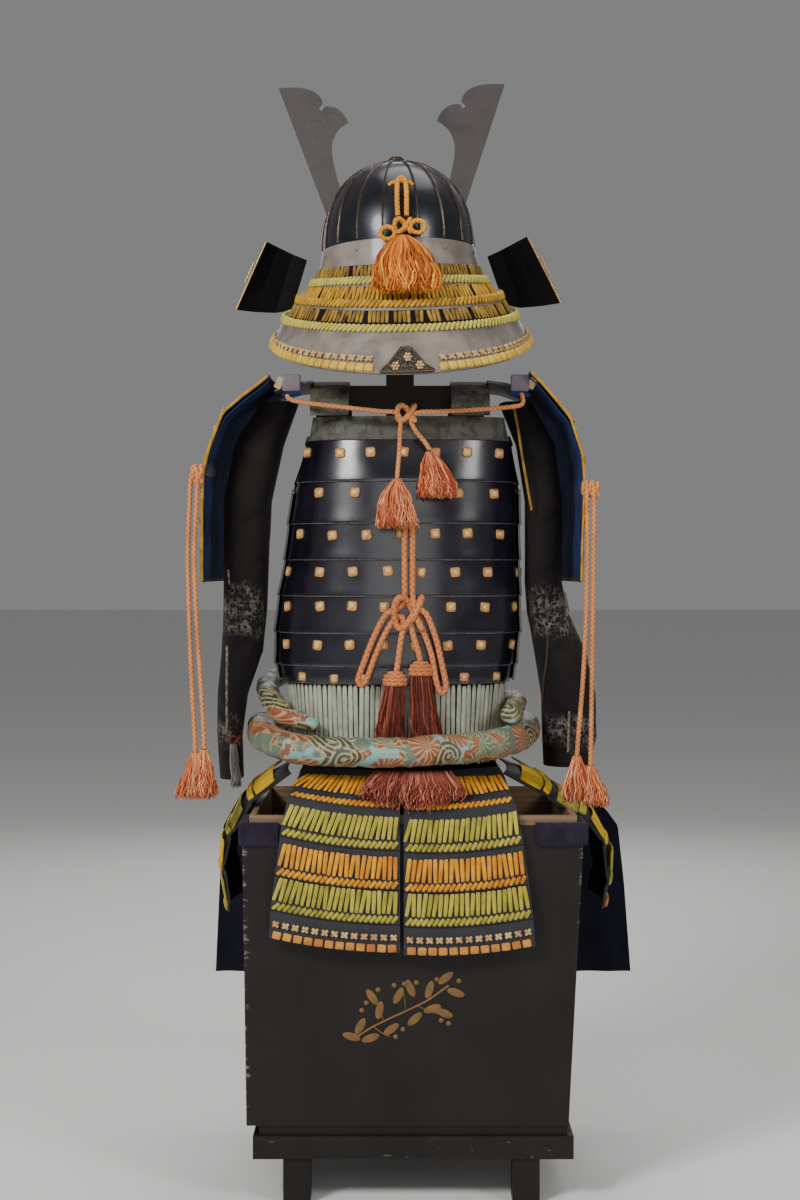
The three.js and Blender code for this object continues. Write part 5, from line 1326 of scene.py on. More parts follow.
class ARMOUR_OT_helmet(bpy.types.Operator):
    """Adds the ribbed bowl, its finial, rivets and the turn-backs' gilt edges"""

    bl_idname = "armour.helmet"
    bl_label = "Helmet bowl"

    def execute(self, context):
        self.bowl()
        self.ribs(context.scene.armour_sizes.rib_height / MM)
        self.finial()
        self.rivets()
        self.edges()
        paint_nodes(turn_back_left="turn back", turn_back_right="turn back", visor="lacquer", horn_left="horn",
                    horn_right="horn")
        return {"FINISHED"}

    def bowl(self):
        rows = [[bowl_point(angle, lift) for angle in steps(0, TURN, 108)[:-1]]
                for lift in steps(0, math.pi / 2 - 0.02, 26)]
        bowl = sheet_object("bowl_plates", rows, thick=3.0, ring=True)
        dress(bowl, "bowl", "bowl_steel", ["helmet_bowl"])

    def ribs(self, height):
        """A raised edge where each plate laps the next, broad and low on one side and sharp on the other."""
        profile = [(-2.6, 0.1), (-1.0, 0.5), (-0.4, 1.0), (0.5, 1.0), (0.9, 0.1)]
        parts = []
        for degrees in BOWL_RIBS:
            for side in (-1, 1):
                angle = -math.pi / 2 + side * math.radians(degrees)
                rows = []
                for lift in steps(0.01, math.pi / 2 - 0.13, 30):
                    reach = max(0.12, math.cos(lift))
                    rows.append([bowl_point(angle + side * across / (118 * reach), lift, high * height)
                                 for across, high in profile])
                outside = Vector(bowl_point(angle, 0.6, 300))
                parts.append(sheet_object(f"rib_{degrees}_{side}", rows, outside=outside))
        dress(join("bowl_ribs", parts), "rib", "bowl_steel")

    def finial(self):
        """Chased rings round the hole in the crown, spun from one profile."""
        top = Vector(to_frame(from_helmet((0, 0, BOWL["height"] - 0.5))))
        bpy.ops.object.select_all(action="DESELECT")
        bpy.ops.mesh.primitive_circle_add(vertices=40, radius=0.017, location=(0, 0, 0), fill_type="NGON")
        obj = bpy.context.object
        bpy.ops.object.mode_set(mode="EDIT")
        bpy.ops.mesh.select_all(action="SELECT")
        for rise, inset in ((0.0030, 0.0), (0.0, 0.0035), (0.0022, 0.0), (0.0, 0.0025), (0.0030, 0.0),
                            (0.0, 0.0032), (0.0024, 0.0)):
            if inset:
                bpy.ops.mesh.inset(thickness=inset)
            else:
                bpy.ops.mesh.extrude_region_move(TRANSFORM_OT_translate={"value": (0, 0, rise)})
        bpy.ops.mesh.inset(thickness=0.0022)
        bpy.ops.mesh.extrude_region_move(TRANSFORM_OT_translate={"value": (0, 0, -0.006)})
        bpy.ops.mesh.select_all(action="SELECT")
        bpy.ops.mesh.normals_make_consistent(inside=False)
        bpy.ops.transform.translate(value=tuple(top))
        bpy.ops.object.mode_set(mode="OBJECT")
        obj.name = "crown_finial"
        edge = obj.modifiers.new("soft edges", "BEVEL")
        edge.width = 0.0006
        edge.segments = 2
        apply_all(obj)
        smooth(obj, 35)
        dress(obj, "rib", "bowl_steel")

    def rivets(self):
        surface = lambda a, b, out: neck_point(NECK["bowl_band"], b, a, out)
        shape = small_ball((6.2, 3.0, 6.2))
        places = [place_on(surface, math.radians(degrees), 0.22, 0.8, 0.02, 0.05)
                  for degrees in (-104, -70, -33, 33, 70, 104)]
        dress(many("band_rivets", shape, places), "taupe", "taupe_lacquer")

    def edges(self):
        """Gilt rims along the outer edge of each turn-back, with a short second line behind."""
        parts = []
        for side in (-1, 1):
            top, foot = TURN_BACK_EDGE["top"], TURN_BACK_EDGE["foot"]
            ends = [Vector(from_helmet((side * p[0], p[1] - 1.0, p[2]))) for p in (top, foot)]
            parts.append(tube_object(f"edge_{side}", [ends[0].lerp(ends[1], t) for t in steps(0, 1, 12)], 1.5, 8))
            shift = Vector((side * 3.4, -3.0, 1.0))
            short = [ends[0].lerp(ends[1], t) + shift for t in steps(0.32, 0.62, 6)]
            parts.append(tube_object(f"edge_short_{side}", short, 1.1, 6))
        dress(join("turn_back_edges", parts), "gilt", "black_lacquer")


class ARMOUR_OT_neck_guard(bpy.types.Operator):
    """Adds the laced lames of the neck guard and its openwork fitting"""

    bl_idname = "armour.neck_guard"
    bl_label = "Neck guard"

    def execute(self, context):
        sizes = context.scene.armour_sizes
        slot = "taupe_lacquer"
        reach = (-GUARD_END + 0.03, GUARD_END - 0.03)
        ab = (0.01, 0.04)
        for name, rows in NECK.items():
            grid = [[neck_point(rows, place, angle) for angle in steps(-GUARD_END, GUARD_END, 96)]
                    for place in steps(0, 1, 12)]
            skin = sheet_object(f"{name}_plate", grid, thick=3.0, outside=from_helmet((0, -500, -50)), angle=40)
            dress(skin, "taupe", slot, [name])
        laced = (
            ("bowl_band", 0.83, 19, "worn laces", "neck_lame_1", 0.2, "pale plait", 590, 0.04),
            ("neck_lame_1", 0.7, 22, "gold laces", "neck_lame_2", 0.16, "gold laces", 660, 0.03),
            ("neck_lame_2", 0.66, 19, "worn laces", "neck_lame_3", 0.085, "pale plait", 750, 0.2),
        )
        for i, (upper, lace_at, tall, laces, lower, plait_at, plait, length, gone) in enumerate(laced):
            over = lambda a, b, out, rows=NECK[upper]: neck_point(rows, b, a, out)
            under = lambda a, b, out, rows=NECK[lower]: neck_point(rows, b, a, out)
            angles = steps(*reach, 72)
            half = tall / 2 / (58 if upper == "bowl_band" else 45)
            strip = [[over(angle, place, 0.5) for angle in angles]
                     for place in (lace_at - half, lace_at, min(1.0, lace_at + half * 1.15))]
            # painted shade: a dark strip under the laces stands for the shade in the gaps between them
            dark = sheet_object(f"neck_lace_painted_shade_{i + 1}", strip, thick=0.4, outside=from_helmet((0, -500, -50)))
            dress(dark, "shade sheet", slot)
            Lacing(over, reach, ab, slot).laces(
                f"neck_laces_{i + 1}", lace_at, tall, length, sizes.lace_pitch / MM * 0.98, laces, proud=1.3,
                width=5.3, thick=3.4, lean=0.16, gone=gone, salt=i)
            Lacing(under, reach, ab, slot).plait(
                f"neck_plait_{i + 1}", plait_at, length, sizes.plait_pitch / MM * 1.1, plait, proud=2.0,
                size=(5.5, 5.4, 14.0), salt=i + 5)
        lowest = lambda a, b, out: neck_point(NECK["neck_lame_3"], b, a, out)
        gap = 0.24
        for side in (-1, 1):
            part = (gap, reach[1]) if side > 0 else (-reach[1], -gap)
            word = "right" if side > 0 else "left"
            edge = Lacing(lowest, part, ab, slot)
            edge.knots(f"neck_knots_{word}", 0.72, 25, 2.0, 12, salt=side)
            edge.pillows(f"neck_pillows_{word}", 0.9, 25, (12.6, 7.0, 12.0), 1.6, "neck pillows", salt=side)
        self.fitting(lowest, ab)
        return {"FINISHED"}

    def fitting(self, lowest, ab):
        """Scrolls and three rosettes in a triangle, over a dark plate."""
        width, foot, head = 0.19, 0.965, 0.52
        place = lambda x, y: Vector(lowest(x * width, foot + (head - foot) * y, 2.4))
        outline = [(-1, 0), (0, 0), (1, 0), (0.82, 0.22), (0.5, 0.52), (0.3, 0.84), (0, 1), (-0.3, 0.84),
                   (-0.5, 0.52), (-0.82, 0.22), (-1, 0)]
        parts = [tube_object("fitting_rim", smooth_path([place(*p) for p in outline], 3), 1.3, 6)]
        for n, (cx, cy, size, turns) in enumerate((
                (-0.66, 0.16, 0.17, 1), (0.66, 0.16, 0.17, -1), (-0.3, 0.5, 0.17, -1), (0.3, 0.5, 0.17, 1),
                (-0.12, 0.16, 0.15, 1), (0.2, 0.14, 0.13, -1), (0.0, 0.85, 0.12, 1))):
            curl = [place(cx + size * (1 - 0.028 * i) * math.cos(turns * i * 0.34) * 0.9,
                          cy + size * (1 - 0.028 * i) * math.sin(turns * i * 0.34)) for i in range(28)]
            parts.append(tube_object(f"fitting_scroll_{n}", smooth_path(curl, 2.5), 0.95, 5))
        dress(join("fitting_scrolls", parts), "rosette", "horn_metal")
        petal = small_ball((4.6, 2.6, 4.6), 5, 6)
        places = []
        for cx, cy in ((-0.42, 0.24), (0.06, 0.62), (0.5, 0.26)):
            for k in range(7):
                radius = 0.0 if k == 6 else 4.4
                a = cx * width + math.cos(TURN * k / 6) * radius / 215
                b = foot + (head - foot) * cy - math.sin(TURN * k / 6) * radius / 72
                places.append(place_on(lowest, a, b, 3.6 if k < 6 else 4.6, *ab))
        dress(many("fitting_rosettes", petal, places), "knots", "horn_metal")
        paint_nodes(rear_fitting="fitting")


def paint_nodes(**finishes):
    """Gives CAD nodes that stay in sight their finishes."""
    for node, finish in finishes.items():
        paint(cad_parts[node], finish)


# ---------------------------------------------------------------- cuirass and waist laces

def ring_surface(rows, middle_z, start=0.0, end=TURN):
    """A surface(share, z, out) round a section table, with equal shares of equal length."""
    angles = steps(start, end, 360)
    middle = row_at(rows, middle_z)
    line = [Vector(section_point(middle, angle)) for angle in angles]
    runs = run_at(line)

    def surface(share, z, out):
        low, high = min(row["z"] for row in rows), max(row["z"] for row in rows)
        row = row_at(rows, min(high, max(low, z)))
        angle = float(np.interp(share * runs[-1], runs, angles))
        x, y, _ = section_point(row, angle, out)
        return (x, y, z)

    return surface, float(runs[-1])


def shell_rows(rows, heights, angles, proud):
    return [[section_point(dict(row_at(rows, z), z=z), angle, proud + out) for angle in angles] for z, out in heights]


def lame_heights(top):
    """Each lame's rounded lower edge stands proud of the lame below it."""
    edges = [z for z in LAME_EDGES if z < top - 1] + [top]
    heights = []
    for i, foot in enumerate(edges[:-1]):
        head = edges[i + 1]
        heights += [(foot + 0.3, 0.4), (foot + 1.0, 1.5), (foot + 2.4, 2.0), (foot + 5, 2.0), (foot + 12, 1.5)]
        heights += [(foot + (head - foot) * share, 1.5 * (1 - share)) for share in (0.5, 0.75)]
        heights.append((head, 0.0))
    rising = [heights[0]]
    for height in heights[1:]:
        if height[0] > rising[-1][0] + 0.25:
            rising.append(height)
    return rising


def cut_armholes(obj):
    bpy.ops.object.select_all(action="DESELECT")
    bpy.ops.mesh.primitive_cylinder_add(vertices=64, radius=1, depth=0.6, location=(0, 0, 0))
    hole = bpy.context.object
    with edit_all(hole):
        bpy.ops.transform.rotate(value=math.pi / 2, orient_axis="Y", center_override=(0, 0, 0))
        bpy.ops.transform.resize(value=(1, ARMHOLE["half_depth"] * MM, ARMHOLE["half_height"] * MM),
                                 center_override=(0, 0, 0))
        bpy.ops.transform.translate(value=to_frame((0, 0, ARMHOLE["z"])))
    cut = obj.modifiers.new("armholes", "BOOLEAN")
    cut.operation = "DIFFERENCE"
    cut.solver = "EXACT"
    cut.use_self = True
    cut.object = hole
    apply_all(obj)
    if len(obj.data.vertices) < 1000:
        raise RuntimeError(f"{obj.name}: the armholes took away the whole shell")
    bpy.data.objects.remove(hole, do_unlink=True)
    smooth(obj, 35)


class ARMOUR_OT_cuirass(bpy.types.Operator):
    """Adds the riveted lames of the cuirass and its gilt studs"""

    bl_idname = "armour.cuirass"
    bl_label = "Cuirass"

    def execute(self, context):
        back = steps(math.pi * 1.004, math.pi * 1.996, 96)
        rows = shell_rows(CUIRASS, lame_heights(1042), back, 0.0)
        shell = sheet_object("cuirass_back_shell", rows, thick=3.0, outside=(0, -500, 870), angle=30)
        cut_armholes(shell)
        dress(shell, "lacquer", "black_lacquer", ["cuirass_back"])
        front = steps(-FRONT_LAP, math.pi + FRONT_LAP, 96)
        rows = shell_rows(CUIRASS, lame_heights(1058), front, FRONT_PROUD)
        shell = sheet_object("cuirass_front_shell", rows, thick=3.0, outside=(0, 500, 870), angle=30)
        cut_armholes(shell)
        dress(shell, "lacquer", "black_lacquer", ["cuirass_front"])
        self.edge_lines(back)
        self.studs(context.scene.armour_sizes.stud_width / MM)
        paint_nodes(back_band="leather", shoulder_strap_left="leather", shoulder_strap_right="leather")
        return {"FINISHED"}

    def edge_lines(self, angles):
        """A painted highlight: a light line along each lame's lower edge, where the edge catches the light, broken in
        patches.
        """
        parts = []
        for n, z in enumerate(LAME_EDGES):
            run = [section_point(dict(row_at(CUIRASS, z), z=z + 1.3), angle, 1.9) for angle in angles[2:-2]]
            kept = [Vector(p) for p in run
                    if (p[1] / ARMHOLE["half_depth"]) ** 2 + ((z - ARMHOLE["z"]) / ARMHOLE["half_height"]) ** 2 > 1.1]
            parts.append(tube_object(f"lame_line_{n}", kept, 0.75, 5))
        dress(join("lame_highlight_lines", parts), "lame highlight", "black_lacquer")

    def studs(self, width):
        """Rounded square studs, each with a raised flower-like middle."""
        places, middles = [], []
        for facing, proud in ((-1, 0.9), (1, FRONT_PROUD + 0.9)):
            def surface(x, z, out, facing=facing):
                row = dict(row_at(CUIRASS, z), z=z)
                reach = row["left"] if x < 0 else row["right"]
                across = power(max(-1.0, min(1.0, x / reach)), 1 / SECTION_POWER)
                return section_point(row, facing * math.acos(across), out)
            for r, row in enumerate(STUD_ROWS):
                for i in range(row["count"]):
                    x = row["first"] + row["pitch"] * i + 3.0 * (chance(i, r) - 0.5)
                    z = row["z"] + 3.0 * (chance(i, r + 9) - 0.5)
                    turn = 0.3 * (chance(i, r + 3) - 0.5)
                    places.append(place_on(surface, x, z, proud, 1, 1, turn=turn))
                    middles.append(place_on(surface, x, z, proud + 1.3, 1, 1, turn=turn))
        base = small_block((width, 3.0, width), width * 0.24, segments=3)
        dress(many("gilt_studs", base, places), "stud", "black_lacquer")
        middle = small_block((width * 0.62, 2.4, width * 0.62), width * 0.17, segments=2)
        dress(many("gilt_stud_middles", middle, middles, 2), "stud middle", "black_lacquer")


class ARMOUR_OT_waist_laces(bpy.types.Operator):
    """Adds the pale laces that hang from the cuirass down to the skirt"""

    bl_idname = "armour.waist_laces"
    bl_label = "Waist laces"

    def execute(self, context):
        pitch = context.scene.armour_sizes.lace_pitch / MM
        under, length = ring_surface(LACES, 645)
        rows = [[under(share, z, -2.4) for share in steps(0, 1, 120)[:-1]] for z in steps(586, 699, 6)]
        # painted shade: a dark ring behind the hanging laces stands for the shade seen in the gaps between them
        dark = sheet_object("lace_painted_shade", rows, thick=1.2, ring=True)
        dress(dark, "shade sheet", "pale_laces", ["hanging_laces"])
        count = round(length / pitch)
        places = []
        shape = lace_shape(6.9, 3.0, 1.0)
        for i in range(count):
            share = (i + 0.5) / count
            middle = 643 + 2.5 * (chance(i, 2) - 0.5)
            lean = 0.035 * (chance(i, 5) - 0.5)
            places.append(place_on(under, share, middle, -0.9 + 0.9 * chance(i, 3), 0.002, 10, turn=lean,
                                   size=(0.92 + 0.2 * chance(i, 4), 1, 110 + 3 * chance(i, 1))))
        dress(many("waist_laces", shape, places), "pale laces", "pale_laces")
        return {"FINISHED"}


# ---------------------------------------------------------------- skirts and shoulder guards

def stepped_rows(point, top, foot, heads, across, proud, head_height):
    """Rows of a laced sheet: each lame's head stands proud and its foot tucks under."""
    heights = [(z, 0.0) for z in steps(top, heads[0] + 15, 9)]
    for head in heads:
        heights += [(head + 12.0, 0.0), (head + 10.6, proud), (head + 10 - head_height, proud),
                    (head + 8.4 - head_height, 0.0)]
    heights.append((foot, 0.0))
    return [[point(z, share, out) for share in across] for z, out in heights]


def share_rows(surface, slot):
    """Lacing on a surface whose a runs from 0 to 1, with the margin that is left at both ends."""
    return lambda margin: Lacing(surface, (margin, 1 - margin), (0.02, 2), slot)


class ARMOUR_OT_skirts(bpy.types.Operator):
    """Adds the laced skirt panels at the back, the front and the sides"""

    bl_idname = "armour.skirts"
    bl_label = "Skirt panels"

    def execute(self, context):
        sizes = context.scene.armour_sizes
        lace, plait = sizes.lace_pitch / MM, sizes.plait_pitch / MM
        tones = ("orange laces", "green laces", "orange laces", "green laces")
        for p, (name, panel) in enumerate(PANELS.items()):
            point = lambda u, z, out, panel=panel: panel_point(panel, z, u, out)
            rows = stepped_rows(lambda z, u, out: panel_point(panel, z, u, out - 1.6), 583, 345.5, SKIRT_HEADS,
                                steps(0, 1, 24), HEAD_PROUD, HEAD_HEIGHT)
            lames = sheet_object(f"{name}_lames", rows, thick=3.0, outside=(0, panel["facing"] * 900, 450), angle=35)
            dress(lames, "lame", "laced_lames", [name])
            laid = share_rows(point, "laced_lames")
            for r, head in enumerate(SKIRT_HEADS):
                width = row_at(panel["rows"], head)["outer"] - 4
                salt = p * 7 + r
                tall = 31 if r else 41
                laid(0.016).laces(f"{name}_laces_{r + 1}", head + 26.5, tall, width, lace, tones[r], proud=0.5,
                                  width=6.2, thick=3.4, lean=0.09, bias=(0.1, 0.17, 0.04, 0.07)[r], salt=salt)
                laid(0.02).plait(f"{name}_plait_{r + 1}", head + 4, width, plait, tones[r], salt=salt)
            laid(0.01).knots(f"{name}_knots", 366, 13, 0.8, 10.5, salt=p)
            laid(0.02).pillows(f"{name}_pillows", 351.6, 12, (12.0, 5.0, 10.4), 0.6, salt=p)
        for name in ("skirt_side_left", "skirt_side_right"):
            self.side(name, lace, plait)
        return {"FINISHED"}

    def side(self, name, lace, plait):
        """A side panel: its rows keep their spacing along the curve that it hangs in."""
        form = SHEETS[name]
        line = [Vector((row["x"], 0, row["z"])) for row in form["profile"]]
        runs = run_at(line)
        fall = lambda run: float(np.interp(run, runs, [p.z for p in line]))

        def point(v, run, out):
            """The rear edge of the flared part droops a little."""
            x, y, z = sheet_point(form, fall(run), v, out)
            share = max(0.0, min(1.0, (190 - run) / 90)) * min(1.0, 0.4 + run / 40)
            return (x, y, z - 15 * share * (1 - v) ** 1.5)

        across = steps(0, 1, 24)
        feet = [58, 118, 178, 236]
        outs = [(0.5, 0.0)]
        for foot in feet:
            outs += [(foot - 2, 0.0), (foot - 1, 2.0), (foot + 12, 2.0), (foot + 13.5, 0.0)]
        outs.append((float(runs[-1]), 0.0))
        rows = [[point(v, run, out - 1.4) for v in across] for run, out in outs]
        lames = sheet_object(f"{name}_lames", rows, thick=3.0, outside=(form["side"] * 900, 0, 480), angle=35)
        dress(lames, "lame", "laced_lames", [name])
        length = form["front"] - form["back"]
        tones = ("yellow laces", "green laces", "yellow laces", "green laces")
        laid = share_rows(point, "laced_lames")
        for r, foot in enumerate(feet):
            laid(0.012).laces(f"{name}_laces_{r + 1}", foot - 20, 34, length, lace, tones[r], proud=0.6, width=6.2,
                              thick=3.4, salt=r)
            laid(0.02).plait(f"{name}_plait_{r + 1}", foot + 5, length, plait, tones[r], salt=r)
        laid(0.02).pillows(f"{name}_pillows", float(runs[-1]) - 7, 13, (11.0, 4.4, 9.6), 0.4)


class ARMOUR_OT_shoulder_guards(bpy.types.Operator):
    """Adds the laced shoulder guards, their linings and their strap ends"""

    bl_idname = "armour.shoulder_guards"
    bl_label = "Shoulder guards"

    def execute(self, context):
        sizes = context.scene.armour_sizes
        lace, plait = sizes.lace_pitch / MM, sizes.plait_pitch / MM
        for word in ("left", "right"):
            form = SHEETS[f"shoulder_guard_{word}"]
            top, foot = form["profile"][0]["z"], form["profile"][-1]["z"]
            heads = [1062, 1019, 976, 933, 890]
            rows = stepped_rows(lambda z, v, out: sheet_point(form, z, v, out - 0.9), top, foot, heads,
                                steps(0, 1, 24), 2.0, 10)
            lames = sheet_object(f"shoulder_guard_{word}_lames", rows, thick=2.4,
                                 outside=(form["side"] * 900, 0, 980), angle=35)
            dress(lames, "lame", "black_lacquer", [f"shoulder_guard_{word}"])
            point = lambda v, z, out: sheet_point(form, z, v, out)
            laid = share_rows(point, "black_lacquer")
            length = form["front"] - form["back"]
            for r, head in enumerate(heads):
                tone = "gold laces" if r % 2 else "cream laces"
                laid(0.01).laces(f"guard_{word}_laces_{r + 1}", head + 14, 26, length, lace, tone, proud=0.6,
                                 width=6.6, salt=r)
                laid(0.01).plait(f"guard_{word}_plait_{r + 1}", head - 4.5, length, plait, tone, proud=2.0,
                                 size=(5.0, 3.6, 10.5), salt=r)
            laid(0.02).knots(f"guard_{word}_knots", 862, 18, 0.4, 11)
            laid(0.02).pillows(f"guard_{word}_pillows", 849, 18, (10.5, 3.0, 7.0), 0.2)
            self.rim(word, form)
            self.lining(word, form)
            self.strap_end(word, form)
        return {"FINISHED"}

    def rim(self, word, form):
        """A bound edge down the back and front edges of a guard."""
        parts = []
        for v in (0.0, 0.985):
            line = [Vector(sheet_point(form, z, v, -0.6 + v)) for z in steps(form["profile"][0]["z"] - 2,
                                                                        form["profile"][-1]["z"] + 2, 40)]
            parts.append(tube_object(f"guard_rim_{v}", line, 2.1, 6))
        dress(join(f"guard_{word}_rims", parts), "gold laces", "black_lacquer")

    def lining(self, word, form):
        creases = ((1090, 0.3, 16, 1.3, 60), (1010, 0.6, 12, 1.5, -90),
                   (950, 0.25, 14, 1.2, 120), (880, 0.7, 13, 1.4, -60))
        rows = []
        for z in steps(form["profile"][0]["z"] - 4, form["profile"][-1]["z"] + 6, 44):
            row = []
            for v in steps(0.01, 1.0, 40):
                sink = sum(depth * math.exp(-(((z - at - slant * (v - middle)) / reach) ** 2))
                           for at, middle, reach, depth, slant in creases)
                drop = 3.5 * min(1.0, max(0.0, (z - 1068) / 16))
                row.append(sheet_point(form, z, v, -GUARD_LINING_GAP - min(1.6, sink) - drop))
            rows.append(row)
        sheet = sheet_object(f"guard_lining_{word}_cloth", rows, thick=1.0, outside=(0, 0, 980), angle=60)
        dress(sheet, "lining", "indigo_lining", [f"guard_lining_{word}"])

    def strap_end(self, word, form):
        """The padded end of the shoulder strap, a lilac square with pale triangles and blue piping below."""
        side = form["side"]
        x = side * 152 if side < 0 else side * 168
        surface = lambda a, b, out: (a, -98 - out, b)
        square = small_block((26, 8, 24), 3.0, segments=3)
        place = place_on(surface, x, 1122, 0, 1, 1)
        dress(many(f"strap_end_{word}", square, [place]), "lilac", "printed_leather")
        pipe = [Vector((x - side * 13 + side * 26 * t, -99, 1108 - 3 * t)) for t in steps(0, 1, 8)]
        dress(tube_object(f"strap_piping_{word}", pipe, 3.0, 8), "lining", "printed_leather")
        wedge = small_block((11, 4, 17), 1.6)
        places = [place_on(surface, x + side * 17, 1122, 0.5, 1, 1, turn=0.5)]
        dress(many(f"strap_wedge_{word}", wedge, places), "cream laces", "printed_leather")


# ---------------------------------------------------------------- sleeves

def sleeve_point(rows, z, turn, proud=0.0):
    row = row_at(rows, z)
    fold = 1 - 0.05 * (1 + math.cos(3 * turn + z / 90)) * 0.5
    sink = 0.0
    for crease in SLEEVE_CREASES:
        off = (turn - crease["turn"] + math.pi) % TURN - math.pi
        if abs(off) < 1.4:
            along = off * row["half_y"]
            line = z - crease["z"] - crease["slant"] * along
            sink += crease["depth"] * math.exp(-((line / crease["reach"] * 2.4) ** 2)) * math.cos(off * 1.12) ** 2
            sink -= crease["depth"] * 0.55 * math.exp(-(((line - 11) / 9) ** 2)) * math.cos(off * 1.12) ** 2
    out = proud - sink
    return (row["x"] + power(math.cos(turn), SECTION_POWER) * (row["half_x"] * fold + out),
            row["y"] + power(math.sin(turn), SECTION_POWER) * (row["half_y"] * fold + out), z)


def sleeve_back(rows, x, z, proud):
    """The point of a sleeve's rear face at this x and height."""
    row = row_at(rows, z)
    share = max(-0.98, min(0.98, (x - row["x"]) / (row["half_x"] * 0.97)))
    return Vector(sleeve_point(rows, z, -math.acos(power(share, 1 / SECTION_POWER)), proud))


class ARMOUR_OT_sleeves(bpy.types.Operator):
    """Adds the hanging armoured sleeves with their mail and splints"""

    bl_idname = "armour.sleeves"
    bl_label = "Sleeves"

    def execute(self, context):
        for word in ("left", "right"):
            rows = SLEEVES[f"sleeve_{word}"]
            low, high = rows[0]["z"], rows[-1]["z"]
            turns = steps(0, TURN, 72)[:-1]
            grid = [[sleeve_point(rows, z, turn) for turn in turns] for z in steps(low, high, 150)]
            cloth = sheet_object(f"sleeve_{word}_cloth", grid, thick=1.8, ring=True, angle=70)
            dress(cloth, "sleeve", "sleeve_cloth", [f"sleeve_{word}"])
            strips = self.strips(word, rows)
            closed = [row + row[:1] for row in grid]
            flat_size(closed, 75, 54)
        return {"FINISHED"}

    def strips(self, word, rows):
        runs = {
            "left": [((-245.5, 752), (-246, 700), (-246.5, 628)), ((-243, 860), (-243, 838))],
            "right": [((240, 826), (240, 793)), ((257, 828), (256, 800)), ((241, 659), (240, 600))],
        }[word]
        parts = []
        for n, ends in enumerate(runs):
            line = smooth_path([sleeve_back(rows, x, z, 0.6) for x, z in ends], 6)
            parts.append(tube_object(f"splint_{n}", line, 2.6, 8, squash=0.6))
        strips = [dress(join(f"sleeve_{word}_splints", parts), "splint", "sleeve_cloth")]
        if word == "left":
            knot = woven_knot("sleeve_knot", tuple(sleeve_back(rows, -237, 617, 3.5)), 7, 6, 2.4, "brick threads",
                              "sleeve_cloth", lift=1.5)
            strips.append(knot)
            fringe = table("x y z half_x half_y", (-237, -52, 612, 5, 3.5), (-236, -51, 590, 7, 4),
                           (-233, -50, 548, 7, 4))
            tuft = threads_object("sleeve_tuft", fringe, 60, 61, wave=1.5)
            strips.append(dress(tuft, "grey threads", "sleeve_cloth"))
        else:
            points = [sleeve_back(rows, x, z, 1.5) for x, z in ((211, 768), (210, 735), (207, 705), (205, 668))]
            tie = tube_object("sleeve_tie", smooth_path(points, 5), 1.9, 8)
            strips.append(dress(tie, "brown cord", "sleeve_cloth"))
            band = smooth_path([Vector(p) for p in (
                (161, -56, 1096), (167, -66, 1062), (173, -72, 1020), (181, -70, 975), (187, -62, 945))], 6)
            ochre = tube_object("armhole_binding", band, 2.6, 8, squash=0.5)
            strips.append(dress(ochre, "worn laces", "sleeve_cloth"))
        return strips


# ---------------------------------------------------------------- padded sash

def cushion(obj, cap):
    """Swells a closed skin like a stuffed one, keeps each point near its place and smooths it once."""
    select_only(obj)
    obj.data.remesh_voxel_size = 0.0045
    bpy.ops.object.voxel_remesh()
    before = np.zeros(len(obj.data.vertices) * 3)
    obj.data.vertices.foreach_get("co", before)
    cloth = obj.modifiers.new("filling", "CLOTH")
    cloth.settings.use_pressure = True
    cloth.settings.uniform_pressure_force = 4.0
    cloth.settings.quality = 5
    cloth.settings.effector_weights.gravity = 0.0
    cloth.point_cache.frame_start = 1
    cloth.point_cache.frame_end = 20
    scene = bpy.context.scene
    for number in range(1, 21):
        scene.frame_set(number)
    apply_all(obj)
    scene.frame_set(1)
    after = np.zeros(len(before))
    obj.data.vertices.foreach_get("co", after)
    move = (after - before).reshape(-1, 3)
    size = np.linalg.norm(move, axis=1, keepdims=True)
    move *= np.minimum(1.0, cap * MM / np.maximum(size, 1e-9))
    obj.data.vertices.foreach_set("co", (before.reshape(-1, 3) + move).ravel())
    obj.data.update()
    finer = obj.modifiers.new("smooth skin", "SUBSURF")
    finer.levels = 1
    finer.render_levels = 1
    apply_all(obj)
    bpy.ops.object.shade_smooth()


